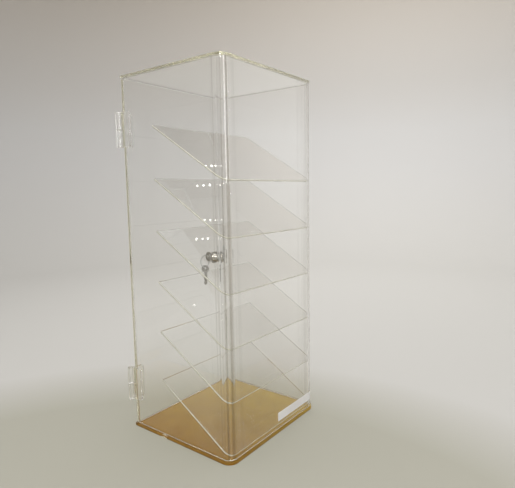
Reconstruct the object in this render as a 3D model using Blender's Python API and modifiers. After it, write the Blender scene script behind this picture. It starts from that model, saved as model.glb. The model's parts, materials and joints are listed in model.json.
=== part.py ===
"""Acrylic display case: six sloping shelves, a back door on two clear hinges and a cam lock with two keys.

Metres, +Z up. The origin is the middle of the underside, on the table. The front wall faces -Y and the door
faces +Y, so +X is to the right as seen from the front.
"""
import math

import bmesh
import bpy
from mathutils import Matrix, Vector

# Case
CASE_WIDTH = 0.250  # over the outer faces of the side walls
CASE_DEPTH = 0.230  # from the front wall's outer face to the door's outer face
CASE_HEIGHT = 0.632  # from the table to the top of the lid
WALL_THICKNESS = 0.004
BEND_RADIUS = 0.011  # inside of the two warm-bent front corners
LID_THICKNESS = 0.004
LID_OVERHANG = 0.0015
BASE_THICKNESS = 0.005
BASE_OVERHANG = 0.003
BACK_CORNER_RADIUS = 0.001  # the lid's and the base's two back corners
EDGE_BREAK = 0.0004  # polished corner along every cut sheet edge
SEAT_GAP = 0.0003  # between pieces that are cemented or clamped together

# Masking paper under the base, with a tear in its left edge
PAPER_THICKNESS = 0.0003
PAPER_INSET = 0.0006
TEAR_MIDDLE_FROM_BACK = 0.075
TEAR_LENGTH = 0.018
TEAR_DEPTH = 0.006
TEAR_EDGE = (  # ragged edge from back to front: shares of the tear's length and of its depth
    (0.50, 0.0), (0.36, 0.35), (0.22, 0.80), (0.06, 1.0),
    (-0.12, 0.48), (-0.25, 0.55), (-0.42, 0.30), (-0.50, 0.0),
)

# Shelves
SHELF_COUNT = 6
SHELF_THICKNESS = 0.003
SHELF_SLOPE = math.radians(31.2)
LOWEST_SHELF_FRONT = 0.0135  # from the table to the lowest shelf's front edge
HIGHEST_SHELF_DROP = 0.181  # from the top of the lid to the highest shelf's front edge
REAR_WAY = 0.0694  # from the shelves' rear edges to the door's inner face

# Label on the front wall, wrapped a little way round the right bend
LABEL_THICKNESS = 0.0003
LABEL_HEIGHT = 0.016
LABEL_FOOT = 0.020  # from the table to the label's lower edge
LABEL_FLAT_LENGTH = 0.1055
LABEL_WRAP_ANGLE = math.radians(50)

# Door
DOOR_THICKNESS = 0.004
DOOR_CLEARANCE = 0.0008  # above and below the door
DOOR_CORNER_RADIUS = 0.001

# Hinges
HINGE_HEIGHT = 0.060
HINGE_LEAF_WIDTH = 0.0195  # from the case's corner to the leaf's free edge
HINGE_LEAF_THICKNESS = 0.0035
HINGE_CORNER_RADIUS = 0.004
HINGE_BARREL_RADIUS = 0.0055
HINGE_PIN_RADIUS = 0.002
HINGE_NOTCH_CLEARANCE = 0.0006  # between a leaf and the other leaf's knuckle
LOWER_HINGE_HEIGHT = 0.083  # from the table to the lower hinge's middle
UPPER_HINGE_DROP = 0.091  # from the top of the lid to the upper hinge's middle

# Cam lock, on an axis square to the door
LOCK_EDGE_DISTANCE = 0.0355  # from the door's free edge
LOCK_HEIGHT = 0.290  # from the table
LOCK_BARREL_RADIUS = 0.0095
LOCK_BARREL_LENGTH = 0.022  # past the door's inner face
LOCK_BARREL_WALL = 0.0027
LOCK_FLAT_DEPTH = 0.0015  # how deep the barrel's two flats are cut
LOCK_FLANGE_LIP = 0.0015  # how far the flange reaches past the barrel
LOCK_FLANGE_THICKNESS = 0.003
LOCK_WASHER_LIP = 0.003
LOCK_WASHER_THICKNESS = 0.001
LOCK_NUT_WALL = 0.0025  # from the barrel to the nut's flats
LOCK_NUT_THICKNESS = 0.004
PLUG_RIM_LIP = 0.00125
PLUG_RIM_THICKNESS = 0.0015
PLUG_END_WALL = 0.0012  # between the keyway and the screw's hole
STUD_STEP = 0.0008  # from the plug's round down to the square stud's corners
CAM_THICKNESS = 0.0025
CAM_EYE_WALL = 0.0014  # outside the corners of the cam's square eye
CAM_TIP_CLEARANCE = 0.0035  # from the turned cam's tip to the right wall
CAM_TIP_RADIUS = 0.003
CAM_PLAY = 0.0006  # between the turned cam and the strike
SCREW_RADIUS = 0.002
SCREW_LENGTH = 0.006
SCREW_HEAD_RADIUS = 0.005
SCREW_HEAD_HEIGHT = 0.003
SCREW_HEAD_CHAMFER = 0.001
SCREW_SLOT_WIDTH = 0.001
SCREW_SLOT_DEPTH = 0.0012
WAFER_SIDE = 0.00145  # wafer metal on each side of the key
WAFER_BAR = 0.0012  # wafer metal above and below the key
WAFER_RECESS = 0.0008  # from the plug's round down to the wafers' corners
WAFER_THICKNESS = 0.001
WAFER_PITCH = 0.004
FIRST_WAFER_DEPTH = 0.005  # behind the plug's face
STRIKE_WIDTH = 0.010
STRIKE_HEIGHT = 0.030

# Keys and ring
KEY_THICKNESS = 0.002
KEY_BOW_LENGTH = 0.017
KEY_BOW_WIDTH = 0.021
KEY_BOW_CORNER_RADIUS = 0.006
KEY_HOLE_INSET = 0.006  # from the bow's end to the hole's middle
KEY_CUT_CODE = (3, 5, 2, 4)  # depth steps of the cut for each wafer
KEY_CUT_STEPS = 18  # depth steps across the blade
KEY_CUT_WIDTH = 0.0018
RING_RADIUS = 0.013  # to the middle of the wire
RING_WIRE_RADIUS = 0.0008

# Facets on round stretches
ARC_STEPS = 8  # in a quarter turn
TURNED_STEPS = 32
RING_STEPS = 40
RING_WIRE_STEPS = 8
NUT_SIDES = 6
SMOOTH_ANGLE = math.radians(30)
MERGE_DISTANCE = 1e-6
FLAT_ANGLE = 1e-4  # faces that meet flatter than this are one face

# Heights, from the table up
BASE_FOOT = PAPER_THICKNESS + SEAT_GAP
BASE_TOP = BASE_FOOT + BASE_THICKNESS
WALL_FOOT = BASE_TOP + SEAT_GAP
LID_FOOT = CASE_HEIGHT - LID_THICKNESS
WALL_TOP = LID_FOOT - SEAT_GAP

# Planes across and along the case
WALL_OUTER_X = CASE_WIDTH / 2
WALL_INNER_X = WALL_OUTER_X - WALL_THICKNESS
FRONT_OUTER_Y = -CASE_DEPTH / 2
FRONT_INNER_Y = FRONT_OUTER_Y + WALL_THICKNESS
DOOR_OUTER_Y = CASE_DEPTH / 2
DOOR_INNER_Y = DOOR_OUTER_Y - DOOR_THICKNESS
WALL_REAR_Y = DOOR_INNER_Y - SEAT_GAP
BEND_OUTER_RADIUS = BEND_RADIUS + WALL_THICKNESS

# The hinges' axis touches the planes of the left wall and of the door with its barrel
HINGE_AXIS = Vector((-WALL_OUTER_X - HINGE_BARREL_RADIUS, DOOR_OUTER_Y + HINGE_BARREL_RADIUS, 0.0))
HINGE_HEIGHTS = {"lower": LOWER_HINGE_HEIGHT, "upper": CASE_HEIGHT - UPPER_HINGE_DROP}

# Shelves: the front edge lies on the front wall, and the rear edge leaves the way behind them free
SHELF_FRONT_Y = FRONT_INNER_Y + SEAT_GAP
SHELF_LENGTH = (DOOR_INNER_Y - REAR_WAY - SHELF_FRONT_Y) / math.cos(SHELF_SLOPE)
SHELF_PITCH = (CASE_HEIGHT - HIGHEST_SHELF_DROP - LOWEST_SHELF_FRONT) / (SHELF_COUNT - 1)

# Lock sizes that fit inside or round each other
PLUG_RADIUS = LOCK_BARREL_RADIUS - LOCK_BARREL_WALL - SEAT_GAP
PLUG_RIM_RADIUS = PLUG_RADIUS + PLUG_RIM_LIP
LOCK_FLANGE_RADIUS = LOCK_BARREL_RADIUS + LOCK_FLANGE_LIP
LOCK_BARREL_FLATS = 2 * (LOCK_BARREL_RADIUS - LOCK_FLAT_DEPTH)
LOCK_NUT_FLATS = 2 * (LOCK_BARREL_RADIUS + LOCK_NUT_WALL)
STUD_WIDTH = math.sqrt(2) * (PLUG_RADIUS - STUD_STEP)
CAM_EYE_WIDTH = STUD_WIDTH + 2 * SEAT_GAP
CAM_HALF_WIDTH = CAM_EYE_WIDTH / math.sqrt(2) + CAM_EYE_WALL
CAM_REACH = LOCK_EDGE_DISTANCE - WALL_THICKNESS - CAM_TIP_CLEARANCE
KEYWAY_WIDTH = KEY_THICKNESS + 2 * SEAT_GAP
WAFER_WIDTH = KEYWAY_WIDTH + 2 * WAFER_SIDE
WAFER_HEIGHT = 2 * math.sqrt((PLUG_RADIUS - WAFER_RECESS) ** 2 - (WAFER_WIDTH / 2) ** 2)
KEYWAY_HEIGHT = WAFER_HEIGHT - 2 * WAFER_BAR
KEY_BLADE_WIDTH = KEYWAY_HEIGHT - 2 * SEAT_GAP
KEY_HOLE_RADIUS = KEY_THICKNESS / 2 + math.sqrt(2) * (RING_WIRE_RADIUS + 2 * SEAT_GAP)

# Places along the lock's axis, outward from the door's outer face
LOCK_CENTRE = Vector((WALL_OUTER_X - LOCK_EDGE_DISTANCE, DOOR_OUTER_Y, LOCK_HEIGHT))
FLANGE_FACE = SEAT_GAP + LOCK_FLANGE_THICKNESS
PLUG_FACE = FLANGE_FACE + SEAT_GAP
RIM_SEAT = PLUG_FACE - PLUG_RIM_THICKNESS
BARREL_END = -DOOR_THICKNESS - LOCK_BARREL_LENGTH
WASHER_FACE = -DOOR_THICKNESS - SEAT_GAP
NUT_FACE = WASHER_FACE - LOCK_WASHER_THICKNESS - SEAT_GAP
CAM_FACE = BARREL_END - SEAT_GAP
CAM_BACK = CAM_FACE - CAM_THICKNESS
SCREW_SEAT = CAM_BACK - SEAT_GAP
SCREW_TIP = SCREW_SEAT + SCREW_LENGTH
KEYWAY_END = SCREW_TIP + SEAT_GAP + PLUG_END_WALL
KEY_SHOULDER = PLUG_FACE + SEAT_GAP
KEY_BLADE_LENGTH = KEY_SHOULDER - KEYWAY_END - SEAT_GAP
KEY_HOLE = KEY_SHOULDER + KEY_BOW_LENGTH - KEY_HOLE_INSET

# The ring crosses the key's hole slantwise, so that it still hangs free when the key has turned a quarter
RING_PIVOT = LOCK_CENTRE + Vector((0.0, KEY_HOLE, 0.0))
RING_CENTRE = RING_PIVOT + Vector((-1.0, 0.0, -1.0)).normalized() * RING_RADIUS
SPARE_PIVOT = RING_CENTRE - Vector((0.0, 0.0, RING_RADIUS))
SPARE_HOLE_DROP = KEY_HOLE_RADIUS - RING_WIRE_RADIUS - SEAT_GAP

# Turns of flat pieces: facing the door's way, standing on edge along Y, and standing on edge with X up
FACING_BACK = Matrix.Rotation(-math.pi / 2, 4, "X")
ON_EDGE = Matrix(((0, 0, 1, 0), (1, 0, 0, 0), (0, 1, 0, 0), (0, 0, 0, 1)))
ON_EDGE_UP = Matrix(((0, 0, -1, 0), (0, 1, 0, 0), (1, 0, 0, 0), (0, 0, 0, 1)))
AT_LOCK = Matrix.Translation(LOCK_CENTRE) @ FACING_BACK


def clear_scene():
    """Remove every object, so that the model starts from nothing."""
    for old in list(bpy.data.objects):
        bpy.data.objects.remove(old, do_unlink=True)


def new_collection(name):
    """Make a collection under the scene's own."""
    collection = bpy.data.collections.new(name)
    bpy.context.scene.collection.children.link(collection)
    return collection


def new_material(name, colour, roughness, metallic=0.0, alpha=1.0):
    """Make a Principled material."""
    material = bpy.data.materials.new(name)
    material.use_nodes = True
    shader = material.node_tree.nodes["Principled BSDF"]
    shader.inputs["Base Color"].default_value = (*colour, 1.0)
    shader.inputs["Roughness"].default_value = roughness
    shader.inputs["Metallic"].default_value = metallic
    shader.inputs["Alpha"].default_value = alpha
    material.diffuse_color = (*colour, alpha)
    return material


clear_scene()
PARTS = new_collection("acrylic_display_case")
CUTTERS = new_collection("cutters")
ACRYLIC = new_material("clear_acrylic", (0.86, 0.86, 0.80), 0.03, alpha=0.3)
HINGE_PLASTIC = new_material("clear_hinge_plastic", (0.84, 0.85, 0.83), 0.10, alpha=0.4)
PAPER = new_material("kraft_paper", (0.42, 0.27, 0.10), 0.80)
LABEL = new_material("white_label", (0.86, 0.86, 0.88), 0.60)
NICKEL = new_material("nickel_plate", (0.62, 0.61, 0.58), 0.18, metallic=1.0)
STEEL = new_material("zinc_steel", (0.50, 0.50, 0.50), 0.35, metallic=1.0)
BRASS = new_material("plug_brass", (0.66, 0.62, 0.52), 0.25, metallic=1.0)


def add_object(name, mesh, material, is_cutter=False):
    """Link a mesh as a named part, or as a cutter that is not built."""
    piece = bpy.data.objects.new(name, mesh)
    if material:
        mesh.materials.append(material)
    (CUTTERS if is_cutter else PARTS).objects.link(piece)
    if is_cutter:
        piece.hide_render = True
        piece.display_type = "WIRE"
    return piece


def place(piece, matrix):
    """Put a piece at a place and turn in the world."""
    piece.matrix_world = matrix
    return piece


def carry(piece, axis):
    """Hang a piece from the empty on its joint's axis, leaving it where it is."""
    bpy.context.view_layer.update()
    piece.parent = axis
    piece.matrix_parent_inverse = axis.matrix_world.inverted()


def joint_axis(name, point, parent=None):
    """Make the empty that stands on a joint's axis."""
    axis = bpy.data.objects.new(name, None)
    axis.empty_display_size = CASE_WIDTH / 10
    PARTS.objects.link(axis)
    axis.location = point
    if parent:
        carry(axis, parent)
    bpy.context.view_layer.update()
    return axis


def arc(centre, radius_x, radius_y, start, end, steps=ARC_STEPS):
    """List points along an arc of a circle or an ellipse, both ends included."""
    angles = [start + (end - start) * step / steps for step in range(steps + 1)]
    return [(centre[0] + radius_x * math.cos(a), centre[1] + radius_y * math.sin(a)) for a in angles]


def circle(radius, steps=TURNED_STEPS):
    """List points round a circle about the origin."""
    return arc((0.0, 0.0), radius, radius, 0.0, math.tau, steps)[:-1]


def rounded_rectangle(low, high, radii):
    """List a rectangle's outline, with corner radii from low-left round to high-left."""
    (x0, y0), (x1, y1) = low, high
    corners = ((x0, y0, 1, 1), (x1, y0, -1, 1), (x1, y1, -1, -1), (x0, y1, 1, -1))
    outline = []
    for quarter, ((x, y, inward_x, inward_y), radius) in enumerate(zip(corners, radii)):
        start = math.pi + quarter * math.pi / 2
        centre = (x + inward_x * radius, y + inward_y * radius)
        outline += arc(centre, radius, radius, start, start + math.pi / 2)
    return outline


def flatted_circle(radius, across_flats):
    """List a circle cut by two flats that face local +Y and -Y."""
    flat = math.asin(across_flats / 2 / radius)
    return (arc((0.0, 0.0), radius, radius, -flat, flat, ARC_STEPS)
            + arc((0.0, 0.0), radius, radius, math.pi - flat, math.pi + flat, ARC_STEPS))


def box_outline(width, height):
    """List a rectangle about the origin."""
    x, y = width / 2, height / 2
    return [(-x, -y), (x, -y), (x, y), (-x, y)]


def plate_mesh(name, outlines, low, high):
    """Fill a flat outline, with any further outlines as holes, from local height low to high."""
    curve = bpy.data.curves.new(name, "CURVE")
    curve.dimensions = "2D"
    curve.fill_mode = "BOTH"
    curve.extrude = (high - low) / 2
    for outline in outlines:
        spline = curve.splines.new("POLY")
        spline.points.add(len(outline) - 1)
        for point, (x, y) in zip(spline.points, outline):
            point.co = (x, y, 0.0, 1.0)
        spline.use_cyclic_u = True
    drawn = bpy.data.objects.new(name, curve)
    PARTS.objects.link(drawn)
    bpy.context.view_layer.update()
    mesh = bpy.data.meshes.new_from_object(drawn.evaluated_get(bpy.context.evaluated_depsgraph_get()))
    bpy.data.objects.remove(drawn)
    bpy.data.curves.remove(curve)
    mesh.name = name
    mesh.materials.clear()
    solid = bmesh.new()
    solid.from_mesh(mesh)
    bmesh.ops.remove_doubles(solid, verts=solid.verts, dist=MERGE_DISTANCE)
    bmesh.ops.translate(solid, verts=solid.verts, vec=(0.0, 0.0, (high + low) / 2))
    bmesh.ops.recalc_face_normals(solid, faces=solid.faces)
    bmesh.ops.dissolve_limit(solid, angle_limit=FLAT_ANGLE, verts=solid.verts, edges=solid.edges)
    solid.to_mesh(mesh)
    solid.free()
    return mesh


def plate(name, outlines, low, high, material, matrix=Matrix(), is_cutter=False):
    """Make a flat plate as an object."""
    return place(add_object(name, plate_mesh(name, outlines, low, high), material, is_cutter), matrix)


def box(name, low, high, material, matrix=Matrix(), is_cutter=False):
    """Make a box between two corners."""
    low, high = Vector(low), Vector(high)
    mesh = bpy.data.meshes.new(name)
    solid = bmesh.new()
    bmesh.ops.create_cube(solid, size=1.0)
    bmesh.ops.scale(solid, verts=solid.verts, vec=high - low)
    bmesh.ops.translate(solid, verts=solid.verts, vec=(low + high) / 2)
    solid.to_mesh(mesh)
    solid.free()
    return place(add_object(name, mesh, material, is_cutter), matrix)


def cylinder(name, radius, low, high, material, matrix=Matrix(), is_cutter=False):
    """Make a cylinder on the local Z axis."""
    mesh = bpy.data.meshes.new(name)
    solid = bmesh.new()
    bmesh.ops.create_cone(solid, cap_ends=True, segments=TURNED_STEPS, radius1=radius, radius2=radius,
                          depth=high - low)
    bmesh.ops.translate(solid, verts=solid.verts, vec=(0.0, 0.0, (low + high) / 2))
    solid.to_mesh(mesh)
    solid.free()
    return place(add_object(name, mesh, material, is_cutter), matrix)


def turned(name, profile, material, is_ring, matrix=Matrix()):
    """Turn a profile of (radius, height) points, listed down its outer side, about the local Z axis."""
    mesh = bpy.data.meshes.new(name)
    edges = [(i, i + 1) for i in range(len(profile) - 1)]
    if is_ring:
        edges.append((len(profile) - 1, 0))
    mesh.from_pydata([(radius, 0.0, height) for radius, height in profile], edges, [])
    piece = add_object(name, mesh, material)
    turn = piece.modifiers.new("turn", "SCREW")
    turn.steps = turn.render_steps = TURNED_STEPS
    turn.use_merge_vertices = True
    turn.merge_threshold = MERGE_DISTANCE
    return place(piece, matrix)


def shape_with(piece, tool, operation="DIFFERENCE"):
    """Cut a piece with a tool, or join the tool to it."""
    change = piece.modifiers.new(tool.name, "BOOLEAN")
    change.operation = operation
    change.object = tool
    change.solver = "EXACT"


def break_edges(piece):
    """Take the sharp corner off a sheet's cut edges."""
    bevel = piece.modifiers.new("broken_edges", "BEVEL")
    bevel.width = EDGE_BREAK
    bevel.segments = 1
    bevel.limit_method = "ANGLE"
    bevel.angle_limit = SMOOTH_ANGLE
    bevel.use_clamp_overlap = True


def panel_outline(overhang):
    """List the outline of a level panel that reaches past the walls and follows the two front bends."""
    low = (-WALL_OUTER_X - overhang, FRONT_OUTER_Y - overhang)
    high = (WALL_OUTER_X + overhang, DOOR_OUTER_Y + overhang)
    bend = BEND_OUTER_RADIUS + overhang
    return rounded_rectangle(low, high, (bend, bend, BACK_CORNER_RADIUS, BACK_CORNER_RADIUS))


def build_wall_wrap():
    """Bend one sheet into the front wall and both side walls."""
    def trace(x, y, radius):
        left = arc((-x + radius, y + radius), radius, radius, math.pi, 1.5 * math.pi)
        right = arc((x - radius, y + radius), radius, radius, 1.5 * math.pi, 2 * math.pi)
        return [(-x, WALL_REAR_Y), *left, *right, (x, WALL_REAR_Y)]

    outer = trace(WALL_OUTER_X, FRONT_OUTER_Y, BEND_OUTER_RADIUS)
    inner = trace(WALL_INNER_X, FRONT_INNER_Y, BEND_RADIUS)
    break_edges(plate("wall_wrap", [outer + inner[::-1]], WALL_FOOT, WALL_TOP, ACRYLIC))


def build_lid_and_base():
    """Lay the lid on the walls and the walls on the base."""
    break_edges(plate("top_panel", [panel_outline(LID_OVERHANG)], LID_FOOT, CASE_HEIGHT, ACRYLIC))
    break_edges(plate("base_panel", [panel_outline(BASE_OVERHANG)], BASE_FOOT, BASE_TOP, ACRYLIC))


def build_base_paper():
    """Leave the masking paper under the base, torn at its left edge."""
    outline = panel_outline(BASE_OVERHANG - PAPER_INSET)
    left = outline[0][0]
    middle = DOOR_OUTER_Y - TEAR_MIDDLE_FROM_BACK
    tear = [(left + deep * TEAR_DEPTH, middle + along * TEAR_LENGTH) for along, deep in TEAR_EDGE]
    plate("base_paper", [outline + tear], 0.0, PAPER_THICKNESS, PAPER)


def build_shelves():
    """Set the sloping shelves between the side walls, their front corners cut to follow the bends."""
    half_width = WALL_INNER_X - SEAT_GAP
    bend = BEND_RADIUS - SEAT_GAP
    bend_along = bend / math.cos(SHELF_SLOPE)
    left = arc((-half_width + bend, bend_along), bend, bend_along, math.pi, 1.5 * math.pi)
    right = arc((half_width - bend, bend_along), bend, bend_along, 1.5 * math.pi, 2 * math.pi)
    outline = [(-half_width, SHELF_LENGTH), *left, *right, (half_width, SHELF_LENGTH)]
    for step in range(SHELF_COUNT):
        front = Vector((0.0, SHELF_FRONT_Y, LOWEST_SHELF_FRONT + step * SHELF_PITCH))
        slope = Matrix.Translation(front) @ Matrix.Rotation(SHELF_SLOPE, 4, "X")
        name = f"shelf_{SHELF_COUNT - step}"
        break_edges(plate(name, [outline], -SHELF_THICKNESS, 0.0, ACRYLIC, slope))


def build_front_label():
    """Stick the blank label on the front wall, from its middle round into the right bend."""
    bend_x = WALL_OUTER_X - BEND_OUTER_RADIUS
    bend_y = FRONT_OUTER_Y + BEND_OUTER_RADIUS

    def trace(radius):
        wrap = arc((bend_x, bend_y), radius, radius, -math.pi / 2, LABEL_WRAP_ANGLE - math.pi / 2)
        return [(bend_x - LABEL_FLAT_LENGTH, bend_y - radius), *wrap]

    back = BEND_OUTER_RADIUS + SEAT_GAP
    outline = trace(back + LABEL_THICKNESS) + trace(back)[::-1]
    plate("front_label", [outline], LABEL_FOOT, LABEL_FOOT + LABEL_HEIGHT, LABEL)


def build_strike():
    """Cement the block that the turned cam lies behind to the right wall, clear of the nut."""
    high_x = WALL_INNER_X - SEAT_GAP
    low_y = DOOR_OUTER_Y + CAM_FACE + CAM_PLAY
    high_y = DOOR_OUTER_Y + NUT_FACE - LOCK_NUT_THICKNESS - CAM_PLAY
    low = (high_x - STRIKE_WIDTH, low_y, LOCK_HEIGHT - STRIKE_HEIGHT / 2)
    high = (high_x, high_y, LOCK_HEIGHT + STRIKE_HEIGHT / 2)
    break_edges(box("lock_strike", low, high, ACRYLIC))


def build_door(axis):
    """Cut the door from one sheet, with the lock's flatted hole, standing upright behind the walls."""
    foot, top = WALL_FOOT + DOOR_CLEARANCE, WALL_TOP - DOOR_CLEARANCE
    outline = rounded_rectangle((-WALL_OUTER_X, -top), (WALL_OUTER_X, -foot), (DOOR_CORNER_RADIUS,) * 4)
    hole = flatted_circle(LOCK_BARREL_RADIUS + SEAT_GAP, LOCK_BARREL_FLATS + 2 * SEAT_GAP)
    hole = [(x + LOCK_CENTRE.x, y - LOCK_CENTRE.z) for x, y in hole]
    upright = Matrix.Translation((0.0, DOOR_OUTER_Y, 0.0)) @ FACING_BACK
    door = plate("door_panel", [outline, hole], -DOOR_THICKNESS, 0.0, ACRYLIC, upright)
    break_edges(door)
    carry(door, axis)


def hinge_leaf(name, matrix):
    """Mould one leaf: a plate on the wall side of the barrel and a knuckle on the barrel's lower half."""
    half = HINGE_HEIGHT / 2
    free = -HINGE_BARREL_RADIUS - HINGE_LEAF_WIDTH
    notch = -HINGE_BARREL_RADIUS - HINGE_NOTCH_CLEARANCE
    knuckle_top = -SEAT_GAP / 2
    corner = HINGE_CORNER_RADIUS
    outline = [
        *arc((free + corner, -half + corner), corner, corner, math.pi, 1.5 * math.pi),
        (0.0, -half), (0.0, knuckle_top), (notch, knuckle_top), (notch, half),
        *arc((free + corner, half - corner), corner, corner, math.pi / 2, math.pi),
    ]
    back = HINGE_BARREL_RADIUS - SEAT_GAP
    leaf = plate(name, [outline], back - HINGE_LEAF_THICKNESS, back, HINGE_PLASTIC, matrix @ ON_EDGE)
    knuckle = cylinder(f"{name}_knuckle", HINGE_BARREL_RADIUS, -half, knuckle_top, None, matrix, True)
    bore = cylinder(f"{name}_bore", HINGE_PIN_RADIUS + SEAT_GAP, -half * 2, half * 2, None, matrix, True)
    shape_with(leaf, knuckle, "UNION")
    shape_with(leaf, bore)
    return leaf


def build_hinges(axis):
    """Fit two hinges of two like leaves and a pin round the outside of the left back corner."""
    turn_over = Matrix(((0, -1, 0, 0), (-1, 0, 0, 0), (0, 0, -1, 0), (0, 0, 0, 1)))
    for position, height in HINGE_HEIGHTS.items():
        middle = Matrix.Translation(HINGE_AXIS + Vector((0.0, 0.0, height)))
        hinge_leaf(f"{position}_hinge_wall_leaf", middle)
        carry(hinge_leaf(f"{position}_hinge_door_leaf", middle @ turn_over), axis)
        pin_half = HINGE_HEIGHT / 2 - EDGE_BREAK
        pin = cylinder(f"{position}_hinge_pin", HINGE_PIN_RADIUS, -pin_half, pin_half, HINGE_PLASTIC, middle)
        break_edges(pin)


def build_lock_body(axis):
    """Fit the lock's housing through the door, with its washer and nut inside."""
    bore = PLUG_RADIUS + SEAT_GAP
    rim_bore = PLUG_RIM_RADIUS + SEAT_GAP
    profile = [
        (rim_bore, FLANGE_FACE), (LOCK_FLANGE_RADIUS - EDGE_BREAK, FLANGE_FACE),
        (LOCK_FLANGE_RADIUS, FLANGE_FACE - EDGE_BREAK), (LOCK_FLANGE_RADIUS, SEAT_GAP),
        (LOCK_BARREL_RADIUS, SEAT_GAP), (LOCK_BARREL_RADIUS, BARREL_END + EDGE_BREAK),
        (LOCK_BARREL_RADIUS - EDGE_BREAK, BARREL_END), (bore, BARREL_END),
        (bore, RIM_SEAT - SEAT_GAP), (rim_bore, RIM_SEAT - SEAT_GAP),
    ]
    housing = turned("lock_housing", profile, NICKEL, True, AT_LOCK)
    for side in (-1, 1):
        near, far = sorted((side * LOCK_BARREL_FLATS / 2, side * LOCK_FLANGE_RADIUS))
        low = (-LOCK_FLANGE_RADIUS, near, BARREL_END - SEAT_GAP)
        high = (LOCK_FLANGE_RADIUS, far, SEAT_GAP)
        shape_with(housing, box(f"barrel_flat_{side}", low, high, None, AT_LOCK, True))
    keyed = flatted_circle(LOCK_BARREL_RADIUS + SEAT_GAP, LOCK_BARREL_FLATS + 2 * SEAT_GAP)
    rim = circle(LOCK_BARREL_RADIUS + LOCK_WASHER_LIP)
    washer_back = WASHER_FACE - LOCK_WASHER_THICKNESS
    washer = plate("lock_washer", [rim, keyed], washer_back, WASHER_FACE, STEEL, AT_LOCK)
    hexagon = circle(LOCK_NUT_FLATS / 2 / math.cos(math.pi / NUT_SIDES), NUT_SIDES)
    nut = plate("lock_nut", [hexagon, circle(LOCK_BARREL_RADIUS + SEAT_GAP)], NUT_FACE - LOCK_NUT_THICKNESS,
                NUT_FACE, NICKEL, AT_LOCK)
    for piece in (housing, washer, nut):
        carry(piece, axis)


def build_lock_plug(axis):
    """Turn the plug that the key turns, with its keyway, wafers, upright cam and cam screw."""
    profile = [
        (0.0, PLUG_FACE), (PLUG_RIM_RADIUS - EDGE_BREAK, PLUG_FACE),
        (PLUG_RIM_RADIUS, PLUG_FACE - EDGE_BREAK), (PLUG_RIM_RADIUS, RIM_SEAT),
        (PLUG_RADIUS, RIM_SEAT), (PLUG_RADIUS, BARREL_END), (0.0, BARREL_END),
    ]
    plug = turned("lock_plug", profile, BRASS, False, AT_LOCK)
    stud = plate("plug_stud", [box_outline(STUD_WIDTH, STUD_WIDTH)], CAM_BACK, BARREL_END + EDGE_BREAK, None,
                 AT_LOCK, True)
    shape_with(plug, stud, "UNION")
    keyway = box_outline(KEYWAY_WIDTH, KEYWAY_HEIGHT)
    shape_with(plug, plate("keyway", [keyway], KEYWAY_END, PLUG_FACE + SEAT_GAP, None, AT_LOCK, True))
    hole = cylinder("screw_hole", SCREW_RADIUS + SEAT_GAP, CAM_BACK - SEAT_GAP, SCREW_TIP + SEAT_GAP, None,
                    AT_LOCK, True)
    shape_with(plug, hole)
    carry(plug, axis)

    across = box_outline(WAFER_WIDTH + 2 * SEAT_GAP, 2 * (PLUG_RADIUS + SEAT_GAP))
    wafer_outline = box_outline(WAFER_WIDTH, WAFER_HEIGHT)
    for number in range(1, len(KEY_CUT_CODE) + 1):
        face = PLUG_FACE - FIRST_WAFER_DEPTH - (number - 1) * WAFER_PITCH
        back = face - WAFER_THICKNESS
        slot = (back - SEAT_GAP, face + SEAT_GAP)
        shape_with(plug, plate(f"wafer_slot_{number}", [across], *slot, None, AT_LOCK, True))
        carry(plate(f"lock_wafer_{number}", [wafer_outline, keyway], back, face, BRASS, AT_LOCK), axis)

    half, tip = CAM_HALF_WIDTH, CAM_TIP_RADIUS
    outline = [
        *arc((0.0, 0.0), half, half, 0.0, math.pi, 2 * ARC_STEPS),
        *arc((tip - half, tip - CAM_REACH), tip, tip, math.pi, 1.5 * math.pi),
        *arc((half - tip, tip - CAM_REACH), tip, tip, 1.5 * math.pi, math.tau),
    ]
    eye = box_outline(CAM_EYE_WIDTH, CAM_EYE_WIDTH)
    cam = plate("lock_cam", [outline, eye], CAM_BACK, CAM_FACE, STEEL, AT_LOCK)
    carry(cam, axis)

    head = SCREW_SEAT - SCREW_HEAD_HEIGHT
    screw_profile = [
        (0.0, SCREW_TIP), (SCREW_RADIUS, SCREW_TIP), (SCREW_RADIUS, SCREW_SEAT),
        (SCREW_HEAD_RADIUS, SCREW_SEAT), (SCREW_HEAD_RADIUS, head + SCREW_HEAD_CHAMFER),
        (SCREW_HEAD_RADIUS - SCREW_HEAD_CHAMFER, head), (0.0, head),
    ]
    screw = turned("cam_screw", screw_profile, STEEL, False, AT_LOCK)
    slot_outline = box_outline(2 * SCREW_HEAD_RADIUS + SEAT_GAP, SCREW_SLOT_WIDTH)
    slot = plate("screw_slot", [slot_outline], head - SEAT_GAP, head + SCREW_SLOT_DEPTH, None, AT_LOCK, True)
    shape_with(screw, slot)
    carry(screw, axis)


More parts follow.
